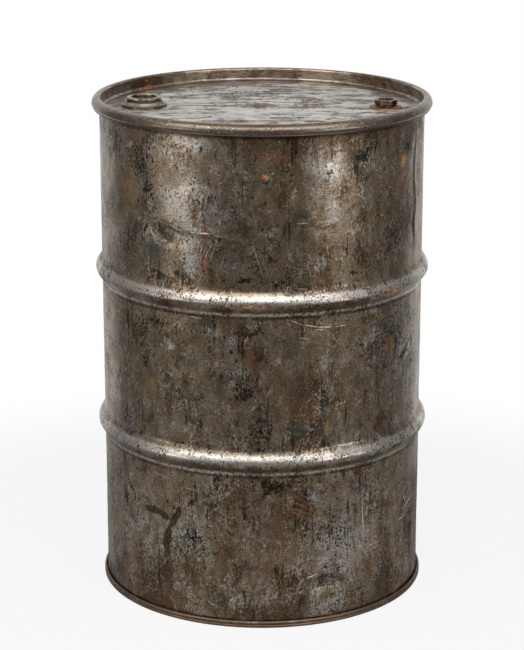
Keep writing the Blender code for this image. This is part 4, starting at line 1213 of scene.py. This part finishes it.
def fittingMetal(name):
    finish = fittingFinishes[name]
    material, sheet = newMaterial(name)
    seed, more = finish["seed"], finish["rustAmount"]
    fields = grainFields(sheet, sheet.place(), {"blotch": (70, 1, 4, 0.6, seed), "grit": (330, 1, 3, 0.6, seed + 3)})
    coat = Coat(sheet, finish, fields, "dark")
    coat.lay("base", coat.where(-0.16, 0.12, blotch=1, grit=0.6))
    coat.lay("edge", coat.where(0.10, 0.22, grit=1, blotch=0.5) * 0.5)
    rusty = coat.where(0.12 - more, 0.30 - more, blotch=1, grit=0.8)
    coat.lay("rust", rusty * 0.8)
    rough = sheet.lerp(0.30 + 0.3 * fields["blotch"], 0.62, rusty)
    normal = sheet.bump(0.5 * fields["grit"] + fields["blotch"], 0.25, 0.0005)
    sheet.finishAs(colour=coat.colour, roughness=rough, metal=1 - 0.6 * rusty, normal=normal)
    return material


def rubber():
    material, sheet = newMaterial("blackRubber")
    fields = grainFields(sheet, sheet.place(), {"bloom": (160, 1, 3, 0.6, 3.0)})
    coat = Coat(sheet, rubberFinish, fields, "black")
    coat.lay("bloom", coat.where(-0.08, 0.18, bloom=1))
    normal = sheet.bump(fields["bloom"], 0.3, 0.0004)
    sheet.finishAs(colour=coat.colour, roughness=0.62 + 0.4 * fields["bloom"], metal=0.0, normal=normal)
    return material


plugMetal, smallPlugMetal, flangeMetal = [fittingMetal(name) for name in fittingFinishes]
blackRubber = rubber()

dress(buildFlange("largeFlange", "large_flange", largeFitting), flangeMetal, "drum", "flange_steel", "large_flange")
dress(buildFlange("smallFlange", "small_flange", smallFitting), flangeMetal, "drum", "flange_steel", "small_flange")
dress(buildLargePlug(), plugMetal, "large_plug", "plug_steel", "large_plug")
dress(buildSmallPlug(), smallPlugMetal, "small_plug", "plug_steel", "small_plug")
dress(buildGasket("largeFlangeGasket", "large_flange_gasket", 0.0307), blackRubber, "drum", "gasket_rubber",
      "large_flange_gasket")
dress(buildGasket("smallFlangeGasket", "small_flange_gasket", 0.0159), blackRubber, "drum", "gasket_rubber",
      "small_flange_gasket")
dress(buildGasket("largePlugGasket", "large_plug_gasket", 0.0283), blackRubber, "large_plug_lift", "gasket_rubber",
      "large_plug_gasket")
dress(buildGasket("smallPlugGasket", "small_plug_gasket", 0.0135), blackRubber, "small_plug_lift", "gasket_rubber",
      "small_plug_gasket")
print("bung fittings done")


# floor, light and camera

studio = {
    "floorRadius": 1.6,
    "floorFadeStart": 0.70,
    "floorFadeEnd": 1.20,
    "floorColour": (0.50, 0.50, 0.50),
    "skyLevel": 0.50,
    "backLevel": 1.05,
    "sideLevel": 0.30,
    "topLevel": 0.45,
    "floorWhite": 0.86,
    "backEdge": (0.60, 0.74),
}

# soft boxes: azimuth from the camera towards +X, distance, middle height, width, height, power
softBoxes = {
    "leftBox": (-58, 2.3, 0.72, 1.10, 0.8, 7.9),
    "rightBox": (50, 2.4, 0.78, 0.85, 0.7, 10.6),
    "leftHighBox": (-53, 2.3, 2.80, 1.70, 1.9, 38),
    "rightHighBox": (43, 2.3, 2.80, 1.40, 1.9, 30),
}
overheadBox = {"place": (0.0, -1.9, 2.6), "aim": (0.0, 0.0, 0.5), "wide": 2.0, "long": 1.2, "power": 26}


def buildFloor():
    size = studio
    rings = [roundRing(radius, -0.0002, 96) for radius in np.linspace(0.004, size["floorRadius"], 40)]
    floor = makePiece("paleFloor", *skinOf(rings[::-1], capEnd=True), 60)
    material, sheet = newMaterial("paleFloor")
    x, y, _ = sheet.parts(sheet.place())
    radius = sheet.length(sheet.joined(x, y))
    rays = sheet.node("ShaderNodeLightPath")
    matt = sheet.node("ShaderNodeBsdfDiffuse", None, {"Color": (*size["floorColour"], 1)})
    white = sheet.node("ShaderNodeEmission", None, {"Color": (1, 1, 1, 1), "Strength": 1.0})
    clear = sheet.node("ShaderNodeBsdfTransparent")
    seen = sheet.node("ShaderNodeMixShader", None, {0: rays * size["floorWhite"], 1: matt, 2: white})
    away = sheet.fade(radius, size["floorFadeStart"], size["floorFadeEnd"])
    shown = sheet.node("ShaderNodeMixShader", None, {0: away, 1: seen, 2: clear})
    sheet.node("ShaderNodeOutputMaterial", None, {"Surface": shown})
    floor.data.materials.append(material)


def buildWorld():
    size = studio
    world = bpy.data.worlds.new("studioWorld")
    scene.world = world
    world.use_nodes = True
    sheet = Sheet(world.node_tree)
    x, y, z = sheet.parts(sheet.node("ShaderNodeTexCoord"))
    level = sheet.length(sheet.joined(x, y))
    back = sheet.fade(y / sheet.highest(level, 0.001), *size["backEdge"]) * sheet.fall(z, 0.45, 0.85)
    top = sheet.fade(z, 0.35, 0.85)
    glossy = size["sideLevel"] + (size["backLevel"] - size["sideLevel"]) * back + size["topLevel"] * top
    rays = sheet.tree.nodes.new("ShaderNodeLightPath")
    isCamera, isGlossy = Wire(sheet, rays.outputs["Is Camera Ray"]), Wire(sheet, rays.outputs["Is Glossy Ray"])
    strength = sheet.lerp(size["skyLevel"], glossy, isGlossy)
    strength = sheet.lerp(strength, 1.0, isCamera)
    light = sheet.node("ShaderNodeBackground", None, {"Color": (1, 1, 1, 1), "Strength": strength})
    sheet.node("ShaderNodeOutputWorld", None, {"Surface": light})


def addSoftBox(name, place, aim, wide, long, power):
    lamp = bpy.data.lights.new(name, "AREA")
    lamp.shape = "RECTANGLE"
    lamp.size, lamp.size_y, lamp.energy = wide, long, power
    item = bpy.data.objects.new(name, lamp)
    item.location = place
    item.rotation_euler = (Vector(aim) - Vector(place)).to_track_quat("-Z", "Y").to_euler()
    scene.collection.objects.link(item)
    item.visible_camera = False


def buildLights():
    for name, (azimuth, distance, height, wide, tall, power) in softBoxes.items():
        turn = math.radians(azimuth)
        place = (distance * math.sin(turn), -distance * math.cos(turn), height)
        addSoftBox(name, place, (0, 0, min(height, 1.2)), wide, tall, power)
    addSoftBox("overheadBox", **overheadBox)


photoCamera = {"lens": 119.80, "place": (0.0, -3.7774, 1.5496), "tilt": 74.01}


def buildCamera():
    data = bpy.data.cameras.new("photoCamera")
    data.sensor_fit, data.sensor_width, data.lens = "AUTO", 36.0, photoCamera["lens"]
    item = bpy.data.objects.new("photoCamera", data)
    item.location = photoCamera["place"]
    item.rotation_euler = (math.radians(photoCamera["tilt"]), 0, 0)
    scene.collection.objects.link(item)
    scene.camera = item


buildFloor()
buildWorld()
buildLights()
buildCamera()
scene.view_settings.view_transform = "Standard"
print("studio done")
